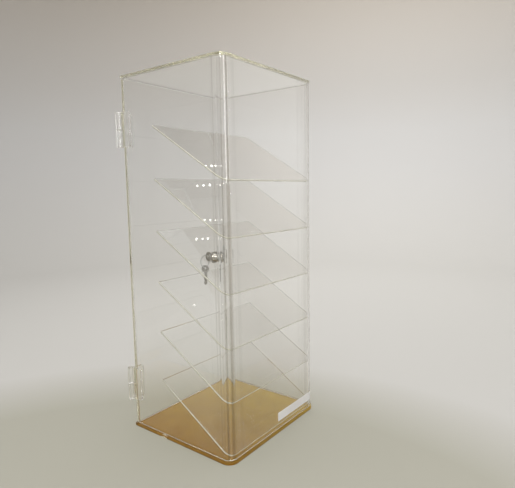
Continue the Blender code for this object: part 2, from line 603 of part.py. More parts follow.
def key_outline():
    """List a key's outline: a blade with cuts on one edge, from the tip to the rounded bow at +X."""
    half = KEY_BLADE_WIDTH / 2
    point = half / 2
    outline = [(-KEY_BLADE_LENGTH, point), (-KEY_BLADE_LENGTH, -point), (-KEY_BLADE_LENGTH + point, -half)]
    bow = rounded_rectangle((0.0, -KEY_BOW_WIDTH / 2), (KEY_BOW_LENGTH, KEY_BOW_WIDTH / 2),
                            (KEY_BOW_CORNER_RADIUS,) * 4)
    outline += [(0.0, -half), *bow, (0.0, half)]
    for number, code in enumerate(KEY_CUT_CODE):
        depth = code * KEY_BLADE_WIDTH / KEY_CUT_STEPS
        middle = -FIRST_WAFER_DEPTH - number * WAFER_PITCH
        near, far = middle + KEY_CUT_WIDTH / 2, middle - KEY_CUT_WIDTH / 2
        floor = half - depth
        outline += [(near + depth / 2, half), (near, floor), (far, floor), (far - depth / 2, half)]
    outline.append((-KEY_BLADE_LENGTH + point, half))
    return outline


def build_keys(key_axis, ring_axis, spare_axis):
    """Put one key in the lock and hang the spare from it on a ring."""
    hole = [(x + KEY_BOW_LENGTH - KEY_HOLE_INSET, y) for x, y in circle(KEY_HOLE_RADIUS)]
    outlines = [key_outline(), hole]
    low, high = -KEY_THICKNESS / 2, KEY_THICKNESS / 2
    shoulder = LOCK_CENTRE + Vector((0.0, KEY_SHOULDER, 0.0))
    in_lock = Matrix.Translation(shoulder) @ ON_EDGE
    carry(plate("door_key", outlines, low, high, NICKEL, in_lock), key_axis)

    bpy.ops.mesh.primitive_torus_add(major_segments=RING_STEPS, minor_segments=RING_WIRE_STEPS,
                                     major_radius=RING_RADIUS, minor_radius=RING_WIRE_RADIUS)
    ring = bpy.context.object
    ring.name = ring.data.name = "key_ring"
    ring.data.materials.append(STEEL)
    for collection in list(ring.users_collection):
        collection.objects.unlink(ring)
    PARTS.objects.link(ring)
    place(ring, Matrix.Translation(RING_CENTRE) @ FACING_BACK)
    carry(ring, ring_axis)

    hole_middle = SPARE_PIVOT - Vector((0.0, 0.0, SPARE_HOLE_DROP))
    hang = Matrix.Translation(hole_middle) @ ON_EDGE_UP
    hang = hang @ Matrix.Translation((KEY_HOLE_INSET - KEY_BOW_LENGTH, 0.0, 0.0))
    carry(plate("spare_key", outlines, low, high, NICKEL, hang), spare_axis)


def shade_parts():
    """Shade round stretches smooth and keep real corners sharp."""
    for piece in PARTS.objects:
        if piece.type == "MESH":
            piece.data.shade_smooth()
            piece.data.set_sharp_from_angle(angle=SMOOTH_ANGLE)


def build():
    """Build every piece on the joint axes that carry it."""
    door_axis = joint_axis("door_swing_axis", HINGE_AXIS)
    lock_axis = joint_axis("lock_turn_axis", LOCK_CENTRE, door_axis)
    key_axis = joint_axis("key_pull_axis", LOCK_CENTRE + Vector((0.0, KEY_SHOULDER, 0.0)), lock_axis)
    ring_axis = joint_axis("ring_swing_axis", RING_PIVOT, key_axis)
    spare_axis = joint_axis("spare_key_swing_axis", SPARE_PIVOT, ring_axis)
    build_wall_wrap()
    build_lid_and_base()
    build_base_paper()
    build_shelves()
    build_front_label()
    build_strike()
    build_door(door_axis)
    build_hinges(door_axis)
    build_lock_body(door_axis)
    build_lock_plug(lock_axis)
    build_keys(key_axis, ring_axis, spare_axis)
    shade_parts()


build()
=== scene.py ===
"""Looks of the clear acrylic display case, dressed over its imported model.

Metres, +Z up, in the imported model's frame: the front wall faces -Y, the door faces +Y, and the case stands
on Z 0. Every visible solid is rebuilt finely over its node, so that bends, arrises, threads and knuckles are
smooth.
"""
import json
import logging
import math
import random
from collections.abc import Callable, Sequence
from dataclasses import dataclass, field, replace
from enum import Enum

import bmesh
import bpy
from mathutils import Matrix, Vector
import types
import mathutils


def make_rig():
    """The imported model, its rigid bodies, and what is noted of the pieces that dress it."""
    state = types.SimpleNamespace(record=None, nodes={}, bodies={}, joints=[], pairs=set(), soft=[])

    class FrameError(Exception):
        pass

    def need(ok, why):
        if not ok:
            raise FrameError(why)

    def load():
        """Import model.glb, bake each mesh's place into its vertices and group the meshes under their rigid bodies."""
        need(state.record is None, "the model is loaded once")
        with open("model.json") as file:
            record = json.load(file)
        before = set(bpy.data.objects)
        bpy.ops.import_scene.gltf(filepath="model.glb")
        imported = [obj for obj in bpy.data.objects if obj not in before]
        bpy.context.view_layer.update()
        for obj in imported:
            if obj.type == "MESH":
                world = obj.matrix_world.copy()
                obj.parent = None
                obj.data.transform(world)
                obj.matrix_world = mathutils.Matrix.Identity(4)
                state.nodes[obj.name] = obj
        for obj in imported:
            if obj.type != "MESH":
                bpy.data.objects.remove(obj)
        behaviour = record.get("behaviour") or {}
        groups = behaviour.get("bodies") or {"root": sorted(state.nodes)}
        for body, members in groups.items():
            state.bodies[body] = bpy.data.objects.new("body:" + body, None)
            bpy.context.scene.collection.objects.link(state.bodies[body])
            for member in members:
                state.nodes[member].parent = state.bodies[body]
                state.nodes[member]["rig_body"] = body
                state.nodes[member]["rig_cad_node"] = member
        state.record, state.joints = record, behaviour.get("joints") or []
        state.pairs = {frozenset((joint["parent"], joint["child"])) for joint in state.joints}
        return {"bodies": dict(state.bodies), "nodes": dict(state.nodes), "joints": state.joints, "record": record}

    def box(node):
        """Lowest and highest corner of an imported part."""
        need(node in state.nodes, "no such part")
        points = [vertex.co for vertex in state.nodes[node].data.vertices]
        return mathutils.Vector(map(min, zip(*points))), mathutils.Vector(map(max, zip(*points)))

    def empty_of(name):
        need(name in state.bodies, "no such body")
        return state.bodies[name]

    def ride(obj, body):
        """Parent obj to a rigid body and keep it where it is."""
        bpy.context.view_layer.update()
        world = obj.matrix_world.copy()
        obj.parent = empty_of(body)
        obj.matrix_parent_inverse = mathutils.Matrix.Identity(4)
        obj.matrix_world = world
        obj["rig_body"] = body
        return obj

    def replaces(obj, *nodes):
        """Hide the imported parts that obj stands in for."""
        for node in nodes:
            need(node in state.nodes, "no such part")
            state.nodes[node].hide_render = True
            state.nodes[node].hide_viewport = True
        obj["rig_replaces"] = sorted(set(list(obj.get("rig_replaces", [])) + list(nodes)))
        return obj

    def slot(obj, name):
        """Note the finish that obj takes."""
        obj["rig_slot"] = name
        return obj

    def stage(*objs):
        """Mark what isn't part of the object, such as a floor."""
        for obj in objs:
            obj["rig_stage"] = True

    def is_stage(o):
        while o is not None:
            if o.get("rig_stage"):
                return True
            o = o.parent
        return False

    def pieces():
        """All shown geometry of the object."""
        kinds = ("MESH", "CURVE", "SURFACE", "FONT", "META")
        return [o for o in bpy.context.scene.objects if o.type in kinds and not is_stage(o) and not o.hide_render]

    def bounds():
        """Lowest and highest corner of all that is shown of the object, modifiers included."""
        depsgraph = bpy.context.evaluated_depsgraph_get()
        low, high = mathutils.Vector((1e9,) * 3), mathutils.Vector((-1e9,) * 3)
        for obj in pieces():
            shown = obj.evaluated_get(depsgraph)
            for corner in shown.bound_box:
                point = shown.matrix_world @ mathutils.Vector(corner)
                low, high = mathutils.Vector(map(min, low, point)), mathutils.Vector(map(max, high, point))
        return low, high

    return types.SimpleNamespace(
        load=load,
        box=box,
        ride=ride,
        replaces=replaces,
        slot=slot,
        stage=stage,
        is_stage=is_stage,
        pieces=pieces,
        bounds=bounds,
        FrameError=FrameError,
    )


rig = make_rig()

LOG = logging.getLogger("display_case")

Point = tuple[float, float]
Triple = tuple[float, float, float]
Colour = tuple[float, float, float]
Warp = Callable[[float, float, float], Triple]
Socket = bpy.types.NodeSocket

SEAT_GAP = 0.0003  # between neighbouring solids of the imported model
ARRIS_ANGLE = math.radians(30)
MERGE_DISTANCE = 1e-7
FLAT_ANGLE = 1e-4
BROAD_FACE = 0.99  # how level a face has to be to count as one of a level sheet's broad faces
BARREL_RADIUS = 0.0095  # of the lock's barrel, which the door and the washer fit
BARREL_FLATS = 0.016

# Turns of flat pieces: facing the door's way, standing on edge along Y, and standing on edge with X up
FACING_BACK = Matrix.Rotation(-math.pi / 2, 4, "X")
ON_EDGE = Matrix(((0, 0, 1, 0), (1, 0, 0, 0), (0, 1, 0, 0), (0, 0, 0, 1)))
ON_EDGE_UP = Matrix(((0, 0, -1, 0), (0, 1, 0, 0), (1, 0, 0, 0), (0, 0, 0, 1)))


class Body(Enum):
    """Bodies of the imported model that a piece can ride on."""

    CASE = "case"
    DOOR = "door"
    PLUG = "plug"
    KEY = "key"
    RING = "ring"
    SPARE = "spare"


class Slot(Enum):
    """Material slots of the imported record."""

    ACRYLIC = "clear_acrylic"
    HINGE = "hinge_plastic"
    KRAFT = "kraft_paper"
    LABEL = "white_label"
    NICKEL = "nickel"
    STEEL = "zinc_steel"
    BRASS = "plug_brass"


class Mask(Enum):
    """Names of the mesh attributes that tell a finish where its special places are."""

    CUT_EDGE = "cut_edge"
    BEND = "bend"


def arc(centre: Point, radii: Point, start: float, end: float, steps: int) -> list[Point]:
    """List points along an arc of a circle or an ellipse between two angles, both ends included."""
    turns = [start + (end - start) * step / steps for step in range(steps + 1)]
    return [(centre[0] + radii[0] * math.cos(a), centre[1] + radii[1] * math.sin(a)) for a in turns]


def quarter(centre: Point, radii: Point, number: int, steps: int) -> list[Point]:
    """List one quarter of a circle or an ellipse, numbered anticlockwise from 0 at +X."""
    return arc(centre, radii, number * math.pi / 2, (number + 1) * math.pi / 2, steps)


def rounded_rectangle(low: Point, high: Point, radii: Sequence[float], steps: int) -> list[Point]:
    """List the outline of a rectangle with rounded corners.

    Args:
        low: Corner with the least coordinates.
        high: Corner with the greatest coordinates.
        radii: Corner radii from low-left round to high-left.
        steps: Steps in each corner.

    Returns:
        The points, anticlockwise.
    """
    (x0, y0), (x1, y1) = low, high
    corners = ((x0, y0, 1, 1), (x1, y0, -1, 1), (x1, y1, -1, -1), (x0, y1, 1, -1))
    outline: list[Point] = []
    for number, ((x, y, inward_x, inward_y), radius) in enumerate(zip(corners, radii), 2):
        outline += quarter((x + inward_x * radius, y + inward_y * radius), (radius, radius), number, steps)
    return outline


def full_turn(centre: Point, radii: Point, steps: int) -> list[Point]:
    """List a whole circle or ellipse, its first point not repeated."""
    return arc(centre, radii, 0.0, math.tau, steps)[:-1]


def flatted_circle(radius: float, across_flats: float, steps: int) -> list[Point]:
    """List a circle cut by two flats that face +Y and -Y.

    Args:
        radius: Radius of the round sides.
        across_flats: Distance between the flats.
        steps: Steps in each round side.

    Returns:
        The points, anticlockwise.
    """
    flat = math.asin(across_flats / 2 / radius)
    right = arc((0.0, 0.0), (radius, radius), -flat, flat, steps)
    left = arc((0.0, 0.0), (radius, radius), math.pi - flat, math.pi + flat, steps)
    return right + left


def barrel_hole(steps: int) -> list[Point]:
    """List the flatted hole that the lock's barrel passes through."""
    return flatted_circle(BARREL_RADIUS + SEAT_GAP, BARREL_FLATS + 2 * SEAT_GAP, steps)


def box_outline(width: float, height: float) -> list[Point]:
    """List a rectangle about the origin."""
    x, y = width / 2, height / 2
    return [(-x, -y), (x, -y), (x, y), (-x, y)]


def rod_profile(radius: float, low: float, high: float, cut: float) -> list[Point]:
    """List the profile of a turned rod whose ends are chamfered by the cut."""
    return [(0.0, low), (radius - cut, low), (radius, low + cut), (radius, high - cut), (radius - cut, high),
            (0.0, high)]


class Solid:
    """A mesh under construction, in its own local frame."""

    def __init__(self, shape: bmesh.types.BMesh) -> None:
        """Keep the mesh that the methods change."""
        self.shape = shape

    @classmethod
    def plate(cls, outlines: Sequence[Sequence[Point]], low: float, high: float) -> "Solid":
        """Fill a flat outline, with any further outlines as holes.

        Args:
            outlines: The outer outline first, then the holes.
            low: Height of the lower face.
            high: Height of the upper face.

        Returns:
            The plate.
        """
        curve = bpy.data.curves.new("outline", "CURVE")
        curve.dimensions = "2D"
        curve.fill_mode = "BOTH"
        curve.extrude = (high - low) / 2
        for outline in outlines:
            spline = curve.splines.new("POLY")
            spline.points.add(len(outline) - 1)
            for point, (x, y) in zip(spline.points, outline):
                point.co = (x, y, 0.0, 1.0)
            spline.use_cyclic_u = True
        drawn = bpy.data.objects.new("outline", curve)
        bpy.context.scene.collection.objects.link(drawn)
        bpy.context.view_layer.update()
        filled = bpy.data.meshes.new_from_object(drawn.evaluated_get(bpy.context.evaluated_depsgraph_get()))
        bpy.data.objects.remove(drawn)
        bpy.data.curves.remove(curve)
        shape = bmesh.new()
        shape.from_mesh(filled)
        bpy.data.meshes.remove(filled)
        bmesh.ops.remove_doubles(shape, verts=shape.verts, dist=MERGE_DISTANCE)
        bmesh.ops.translate(shape, verts=shape.verts, vec=(0.0, 0.0, (high + low) / 2))
        bmesh.ops.dissolve_limit(shape, angle_limit=FLAT_ANGLE, verts=shape.verts, edges=shape.edges)
        bmesh.ops.recalc_face_normals(shape, faces=shape.faces)
        return cls(shape)

    @classmethod
    def rings(cls, rings: Sequence[Sequence[Triple]], closed: bool = False, capped: bool = True) -> "Solid":
        """Join rings of points into a tube.

        Args:
            rings: Rings with the same number of points, in order along the tube.
            closed: Whether the last ring meets the first.
            capped: Whether the two ends of a tube that isn't closed are filled.

        Returns:
            The tube.
        """
        shape = bmesh.new()
        rows = [[shape.verts.new(point) for point in ring] for ring in rings]
        pairs = list(zip(rows, rows[1:] + rows[:1])) if closed else list(zip(rows, rows[1:]))
        for near, far in pairs:
            for step in range(len(near)):
                after = (step + 1) % len(near)
                shape.faces.new((near[step], near[after], far[after], far[step]))
        if capped and not closed:
            shape.faces.new(rows[0][::-1])
            shape.faces.new(rows[-1])
        bmesh.ops.remove_doubles(shape, verts=shape.verts, dist=MERGE_DISTANCE)
        bmesh.ops.recalc_face_normals(shape, faces=shape.faces)
        return cls(shape)

    @classmethod
    def turned(cls, profile: Sequence[Point], steps: int, closed: bool = False, capped: bool = True,
               warp: Warp | None = None) -> "Solid":
        """Turn a profile about the local Z axis.

        Args:
            profile: Points as (radius, height).
            steps: Steps in the full turn.
            closed: Whether the profile is a loop that stays off the axis.
            capped: Whether the ends of a profile that isn't a loop are filled.
            warp: Gives a point's place from its angle, radius and height, where it isn't plainly round.

        Returns:
            The turned solid.
        """
        def plainly_round(angle: float, radius: float, height: float) -> Triple:
            """Place a point of a plainly round solid."""
            return radius * math.cos(angle), radius * math.sin(angle), height

        place = warp or plainly_round
        angles = [math.tau * step / steps for step in range(steps)]
        rings = [[place(angle, radius, height) for angle in angles] for radius, height in profile]
        return cls.rings(rings, closed, capped)

    def round_edges(self, width: float, segments: int = 2) -> "Solid":
        """Round every corner that is sharper than an arris.

        Args:
            width: How far the rounding reaches from the corner.
            segments: Facets across the rounding.

        Returns:
            This solid.
        """
        sharp = [e for e in self.shape.edges if e.calc_face_angle(0.0) > ARRIS_ANGLE]
        bmesh.ops.bevel(self.shape, geom=sharp, offset=width, offset_type="OFFSET", segments=segments,
                        profile=0.5, affect="EDGES", clamp_overlap=True)
        return self

    def moved(self, matrix: Matrix) -> "Solid":
        """Move the points by a matrix and return this solid."""
        bmesh.ops.transform(self.shape, matrix=matrix, verts=self.shape.verts)
        return self

    def piece(self, name: str, matrix: Matrix | None = None) -> bpy.types.Object:
        """Turn the solid into a smoothly shaded object.

        Args:
            name: The object's name.
            matrix: The object's place, where it isn't the frame's own.

        Returns:
            The object.
        """
        mesh = bpy.data.meshes.new(name)
        self.shape.to_mesh(mesh)
        self.shape.free()
        mesh.shade_smooth()
        piece = bpy.data.objects.new(name, mesh)
        bpy.context.scene.collection.objects.link(piece)
        piece.matrix_world = matrix or Matrix()
        return piece


def settle(piece: bpy.types.Object) -> None:
    """Replace a piece's mesh by what its modifiers make of it."""
    bpy.context.view_layer.update()
    made = bpy.data.meshes.new_from_object(piece.evaluated_get(bpy.context.evaluated_depsgraph_get()))
    old = piece.data
    piece.modifiers.clear()
    piece.data = made
    bpy.data.meshes.remove(old)
    made.name = piece.name


def shape_with(piece: bpy.types.Object, tool: bpy.types.Object, operation: str = "DIFFERENCE") -> None:
    """Cut a piece with a tool, or join the tool to it, and discard the tool.

    Args:
        piece: The piece that changes.
        tool: The solid that cuts or joins.
        operation: DIFFERENCE or UNION.
    """
    change = piece.modifiers.new("shape", "BOOLEAN")
    change.operation = operation
    change.object = tool
    change.solver = "EXACT"
    settle(piece)
    bpy.data.objects.remove(tool)


def keep_flats_true(piece: bpy.types.Object) -> None:
    """Let large flats rule the normals, so that a sheet doesn't bow what is seen through it."""
    piece.data.shade_smooth()
    piece.data.set_sharp_from_angle(angle=ARRIS_ANGLE)
    flats = piece.modifiers.new("true_flats", "WEIGHTED_NORMAL")
    flats.keep_sharp = True
    flats.weight = 100
    settle(piece)


def is_cut_edge(face: bpy.types.MeshPolygon) -> float:
    """Tell a level sheet's cut edges, 1, from its two broad faces, 0."""
    return float(abs(face.normal.z) < BROAD_FACE)


def mark(piece: bpy.types.Object, mask: Mask, test: Callable[..., float], by_point: bool = False) -> None:
    """Write a mesh attribute that a finish reads.

    Args:
        piece: The piece to mark.
        mask: The attribute's name.
        test: Gives the value at a face, or at a point.
        by_point: Whether the attribute lies on points instead of faces.
    """
    items = piece.data.vertices if by_point else piece.data.polygons
    layer = piece.data.attributes.new(mask.value, "FLOAT", "POINT" if by_point else "FACE")
    for item in items:
        layer.data[item.index].value = test(item)


class NodeKit:
    """Adds and joins the nodes of one tree."""

    def __init__(self, tree: bpy.types.NodeTree) -> None:
        """Keep the tree that the methods add to."""
        self.tree = tree

    def feed(self, socket: Socket, value: object) -> None:
        """Link a socket to an output, or set its own value."""
        if isinstance(value, Socket):
            self.tree.links.new(value, socket)
        else:
            socket.default_value = value

    def add(self, kind: str, inputs: dict[str | int, object] | None = None,
            **settings: object) -> bpy.types.Node:
        """Add a node.

        Args:
            kind: The node's type, without its ShaderNode prefix.
            inputs: Values or outputs for its sockets, by name or number.
            settings: Values for its properties.

        Returns:
            The node.
        """
        node = self.tree.nodes.new("ShaderNode" + kind)
        for name, value in settings.items():
            setattr(node, name, value)
        for name, value in (inputs or {}).items():
            self.feed(node.inputs[name], value)
        return node

    def noise(self, vector: Socket, scale: float, detail: float = 3.0,
              roughness: float = 0.55, distortion: float = 0.0) -> Socket:
        """Add a noise texture and return its value output."""
        inputs = {"Vector": vector, "Scale": scale, "Detail": detail, "Roughness": roughness,
                  "Distortion": distortion}
        return self.add("TexNoise", inputs).outputs[0]

    def stretch(self, vector: Socket, scale: Sequence[float]) -> Socket:
        """Scale coordinates by a different amount along each axis and return them."""
        return self.add("VectorMath", {0: vector, 1: tuple(scale)}, operation="MULTIPLY").outputs[0]

    def span(self, value: Socket, low: float, high: float,
             to_low: object = 0.0, to_high: object = 1.0) -> Socket:
        """Map a range of values to another, held at its ends, and return the result."""
        inputs = {0: value, 1: low, 2: high, 3: to_low, 4: to_high}
        return self.add("MapRange", inputs).outputs[0]

    def sum(self, operation: str, first: object, second: object) -> Socket:
        """Work out a sum of two values and return the result."""
        return self.add("Math", {0: first, 1: second}, operation=operation).outputs[0]

    def tint(self, factor: object, first: object, second: object) -> Socket:
        """Mix two colours and return the result."""
        def full(colour: object) -> object:
            """Give a plain colour its alpha."""
            return (*colour, 1.0) if isinstance(colour, tuple) else colour

        return self.add("Mix", {0: factor, 6: full(first), 7: full(second)}, data_type="RGBA").outputs[2]


class SharedEffect:
    """A shader node group that several finishes place with their own values."""

    name: str
    takes: tuple[str, ...]
    gives: tuple[str, ...]

    def draw(self, kit: NodeKit, given: dict[str, Socket]) -> dict[str, Socket]:
        """Add the group's nodes and return what feeds its outputs, by name."""
        raise NotImplementedError

    def tree(self) -> bpy.types.NodeTree:
        """Build the group once and return it."""
        found = bpy.data.node_groups.get(self.name)
        if found:
            return found
        tree = bpy.data.node_groups.new(self.name, "ShaderNodeTree")
        for way, names in (("INPUT", self.takes), ("OUTPUT", self.gives)):
            for name in names:
                kind = "NodeSocketVector" if name == "Vector" else "NodeSocketFloat"
                tree.interface.new_socket(name=name, in_out=way, socket_type=kind)
        start = tree.nodes.new("NodeGroupInput")
        made = self.draw(NodeKit(tree), {name: start.outputs[name] for name in self.takes})
        end = tree.nodes.new("NodeGroupOutput")
        for name, value in made.items():
            tree.links.new(value, end.inputs[name])
        return tree

    def place(self, kit: NodeKit, **inputs: object) -> dict[str, Socket]:
        """Place the group in a material's tree with its values and return its outputs by name."""
        node = kit.add("Group", node_tree=self.tree())
        for name, value in inputs.items():
            kit.feed(node.inputs[name.capitalize()], value)
        return {name: node.outputs[name] for name in self.gives}


class HandlingMarks(SharedEffect):
    """Smudges from hands and hair scratches on polished sheet."""

    name = "handling_marks"
    takes = ("Vector", "Smudge", "Scratch")
    gives = ("Roughness", "Height")

    def draw(self, kit: NodeKit, given: dict[str, Socket]) -> dict[str, Socket]:
        """Add the group's nodes and return what feeds its outputs, by name."""
        vector = given["Vector"]
        cloud = kit.span(kit.noise(vector, 11.0, 4.0, 0.6, 0.8), 0.52, 0.75)
        print_lines = kit.span(kit.noise(vector, 160.0, 2.0), 0.45, 0.6)
        smudge = kit.sum("MULTIPLY", cloud, kit.sum("MULTIPLY", print_lines, given["Smudge"]))
        lengthways = kit.noise(kit.stretch(vector, (700.0, 700.0, 9.0)), 1.0, 1.0)
        crossways = kit.noise(kit.stretch(vector, (11.0, 11.0, 800.0)), 1.0, 1.0)
        hairs = kit.span(kit.sum("MAXIMUM", lengthways, crossways), 0.74, 0.80)
        scratch = kit.sum("MULTIPLY", hairs, given["Scratch"])
        return {"Roughness": kit.sum("ADD", smudge, scratch), "Height": kit.sum("MULTIPLY", scratch, -1.0)}


class SawMarks(SharedEffect):
    """Satin tool marks across the cut edges of sheet."""

    name = "saw_marks"
    takes = ("Vector", "Mask", "Satin")
    gives = ("Roughness", "Height")

    def draw(self, kit: NodeKit, given: dict[str, Socket]) -> dict[str, Socket]:
        """Add the group's nodes and return what feeds its outputs, by name."""
        lines = kit.noise(given["Vector"], 1600.0, 2.0)
        patches = kit.span(kit.noise(given["Vector"], 34.0, 3.0), 0.3, 0.7, 0.55, 1.0)
        satin = kit.sum("MULTIPLY", patches, kit.sum("MULTIPLY", given["Satin"], given["Mask"]))
        return {"Roughness": satin, "Height": kit.sum("MULTIPLY", lines, given["Mask"])}


class PaperFibre(SharedEffect):
    """Fibres and clouding of paper."""

    name = "paper_fibre"
    takes = ("Vector", "Grain")
    gives = ("Shade", "Height")

    def draw(self, kit: NodeKit, given: dict[str, Socket]) -> dict[str, Socket]:
        """Add the group's nodes and return what feeds its outputs, by name."""
        vector, grain = given["Vector"], given["Grain"]
        grained = kit.add("VectorMath", {0: vector, "Scale": grain}, operation="SCALE").outputs[0]
        along = kit.noise(kit.stretch(grained, (0.25, 1.0, 1.0)), 1.0, 3.0, 0.6, 0.6)
        across = kit.noise(kit.stretch(grained, (1.0, 0.25, 1.0)), 1.0, 3.0, 0.6, 0.6)
        fibres = kit.sum("MULTIPLY", kit.sum("ADD", along, across), 0.5)
        clouds = kit.noise(vector, 26.0, 4.0, 0.6)
        shade = kit.sum("ADD", kit.sum("MULTIPLY", fibres, 0.55), kit.sum("MULTIPLY", clouds, 0.45))
        return {"Shade": shade, "Height": fibres}


class PlatingGrain(SharedEffect):
    """Fine polishing lines, dull patches and rubs on plated metal."""

    name = "plating_grain"
    takes = ("Vector", "Polished", "Dull")
    gives = ("Roughness", "Shade", "Height")

    def draw(self, kit: NodeKit, given: dict[str, Socket]) -> dict[str, Socket]:
        """Add the group's nodes and return what feeds its outputs, by name."""
        patches = kit.noise(given["Vector"], 260.0, 4.0, 0.6)
        lines = kit.noise(kit.stretch(given["Vector"], (3000.0, 420.0, 3000.0)), 1.0, 2.0)
        dulled = kit.span(patches, 0.35, 0.7)
        rough = kit.span(dulled, 0.0, 1.0, given["Polished"], given["Dull"])
        return {"Roughness": rough, "Shade": dulled, "Height": lines}


HANDLING_MARKS = HandlingMarks()
SAW_MARKS = SawMarks()
PAPER_FIBRE = PaperFibre()
PLATING_GRAIN = PlatingGrain()


@dataclass(frozen=True)
class Finish:
    """A surface finish, built once and shared by the pieces that wear it."""

    name: str
    slot: Slot | None = None

    def surface(self, kit: NodeKit, vector: Socket) -> dict[str, object]:
        """Add the finish's nodes and return what feeds its main shader, by socket."""
        raise NotImplementedError

    def join(self, kit: NodeKit, shader: Socket, out: bpy.types.Node) -> None:
        """Join the main shader to the material's output."""
        kit.feed(out.inputs["Surface"], shader)

    def material(self) -> bpy.types.Material:
        """Build the material once and return it."""
        found = bpy.data.materials.get(self.name)
        if found:
            return found
        material = bpy.data.materials.new(self.name)
        material.use_nodes = True
        kit = NodeKit(material.node_tree)
        kit.tree.nodes.clear()
        vector = kit.add("TexCoord").outputs["Object"]
        shader = kit.add("BsdfPrincipled", self.surface(kit, vector))
        self.join(kit, shader.outputs[0], kit.add("OutputMaterial"))
        return material


@dataclass(frozen=True)
class ClearPlastic(Finish):
    """Clear plastic that bends light, with satin cut edges, a faint tint over long ways through it, and painted dark
    reflection streaks in its bends.
    """

    absorbed: Colour = (0.76, 0.755, 0.58)
    density: float = 3.2
    edge_colour: Colour = (0.90, 0.88, 0.78)
    face_colour: Colour = (1.0, 1.0, 0.995)
    refraction: float = 1.49
    smudge: float = 0.012
    scratch: float = 0.03
    edge_satin: float = 0.16
    scratch_relief: float = 0.02
    saw_relief: float = 0.025
    streak_depth: float = 0.00005
    streak_stretch: Triple = (260.0, 260.0, 1.6)
    streaked: Point = (0.8, 1.0)
    # painted reflection: colour of the dark streaks painted into the bends
    painted_reflection_streak_colour: Colour = (0.62, 0.60, 0.56)
    painted_streak_band_stretch: Triple = (195.0, 195.0, 0.9)
    painted_streak_band_span: Point = (0.46, 0.66)
    lamp_light: Colour = (0.955, 0.955, 0.945)

    def surface(self, kit: NodeKit, vector: Socket) -> dict[str, object]:
        """Add the finish's nodes and return what feeds its main shader, by socket."""
        edge = kit.add("Attribute", attribute_name=Mask.CUT_EDGE.value).outputs["Fac"]
        bend = kit.add("Attribute", attribute_name=Mask.BEND.value).outputs["Fac"]
        marks = HANDLING_MARKS.place(kit, vector=vector, smudge=self.smudge, scratch=self.scratch)
        saw = SAW_MARKS.place(kit, vector=vector, mask=edge, satin=self.edge_satin)
        streaks = kit.noise(kit.stretch(vector, self.streak_stretch), 1.0, 2.0)
        painted_streak_bands = kit.span(kit.noise(kit.stretch(vector, self.painted_streak_band_stretch), 1.0, 2.0), *self.painted_streak_band_span)
        relief = kit.sum("ADD", kit.sum("MULTIPLY", marks["Height"], self.scratch_relief),
                         kit.sum("MULTIPLY", saw["Height"], self.saw_relief))
        relief = kit.sum("ADD", relief, kit.sum("MULTIPLY", streaks, kit.span(bend, *self.streaked)))
        bump = kit.add("Bump", {"Strength": 1.0, "Distance": self.streak_depth, "Height": relief})
        # Painted reflection: dark streaks tinted into the bends' colour stand in for dark parts of the room seen
        # mirrored and bent in them.
        face = kit.tint(kit.sum("MULTIPLY", painted_streak_bands, bend), self.face_colour, self.painted_reflection_streak_colour)
        return {
            "Base Color": kit.tint(edge, face, self.edge_colour),
            "Roughness": kit.sum("ADD", marks["Roughness"], saw["Roughness"]),
            "IOR": self.refraction, "Transmission Weight": 1.0, "Normal": bump.outputs["Normal"],
        }

    def join(self, kit: NodeKit, shader: Socket, out: bpy.types.Node) -> None:
        """Let lamps shine through, and tint what passes through the plastic."""
        lamps_pass = kit.add("BsdfTransparent", {"Color": (*self.lamp_light, 1.0)})
        path = kit.add("LightPath").outputs
        lighting = kit.sum("MAXIMUM", path["Is Shadow Ray"], path["Is Diffuse Ray"])
        both = kit.add("MixShader", {0: lighting, 1: shader, 2: lamps_pass.outputs[0]})
        inside = kit.add("VolumeAbsorption", {"Color": (*self.absorbed, 1.0), "Density": self.density})
        kit.feed(out.inputs["Surface"], both.outputs[0])
        kit.feed(out.inputs["Volume"], inside.outputs[0])


@dataclass(frozen=True)
class CementFilm(Finish):
    """Hazy dried cement in the joints of sheet, fuller in some places than in others."""

    colour: Colour = (0.97, 0.955, 0.87)
    thin: float = 0.7
    full: float = 1.0
    bubble_depth: float = 0.0001
    bubble_shade: float = 0.9
    satin: Point = (0.35, 0.6)

    def surface(self, kit: NodeKit, vector: Socket) -> dict[str, object]:
        """Add the finish's nodes and return what feeds its main shader, by socket."""
        runs = kit.span(kit.noise(vector, 45.0, 4.0, 0.65), 0.35, 0.65, self.thin, self.full)
        bubbles = kit.noise(vector, 900.0, 2.0)
        bump = kit.add("Bump", {"Strength": 0.3, "Distance": self.bubble_depth, "Height": bubbles})
        return {
            "Base Color": kit.tint(bubbles, self.colour, tuple(self.bubble_shade * c for c in self.colour)),
            "Roughness": kit.span(bubbles, 0.3, 0.7, *self.satin), "Alpha": runs,
            "Normal": bump.outputs["Normal"],
        }


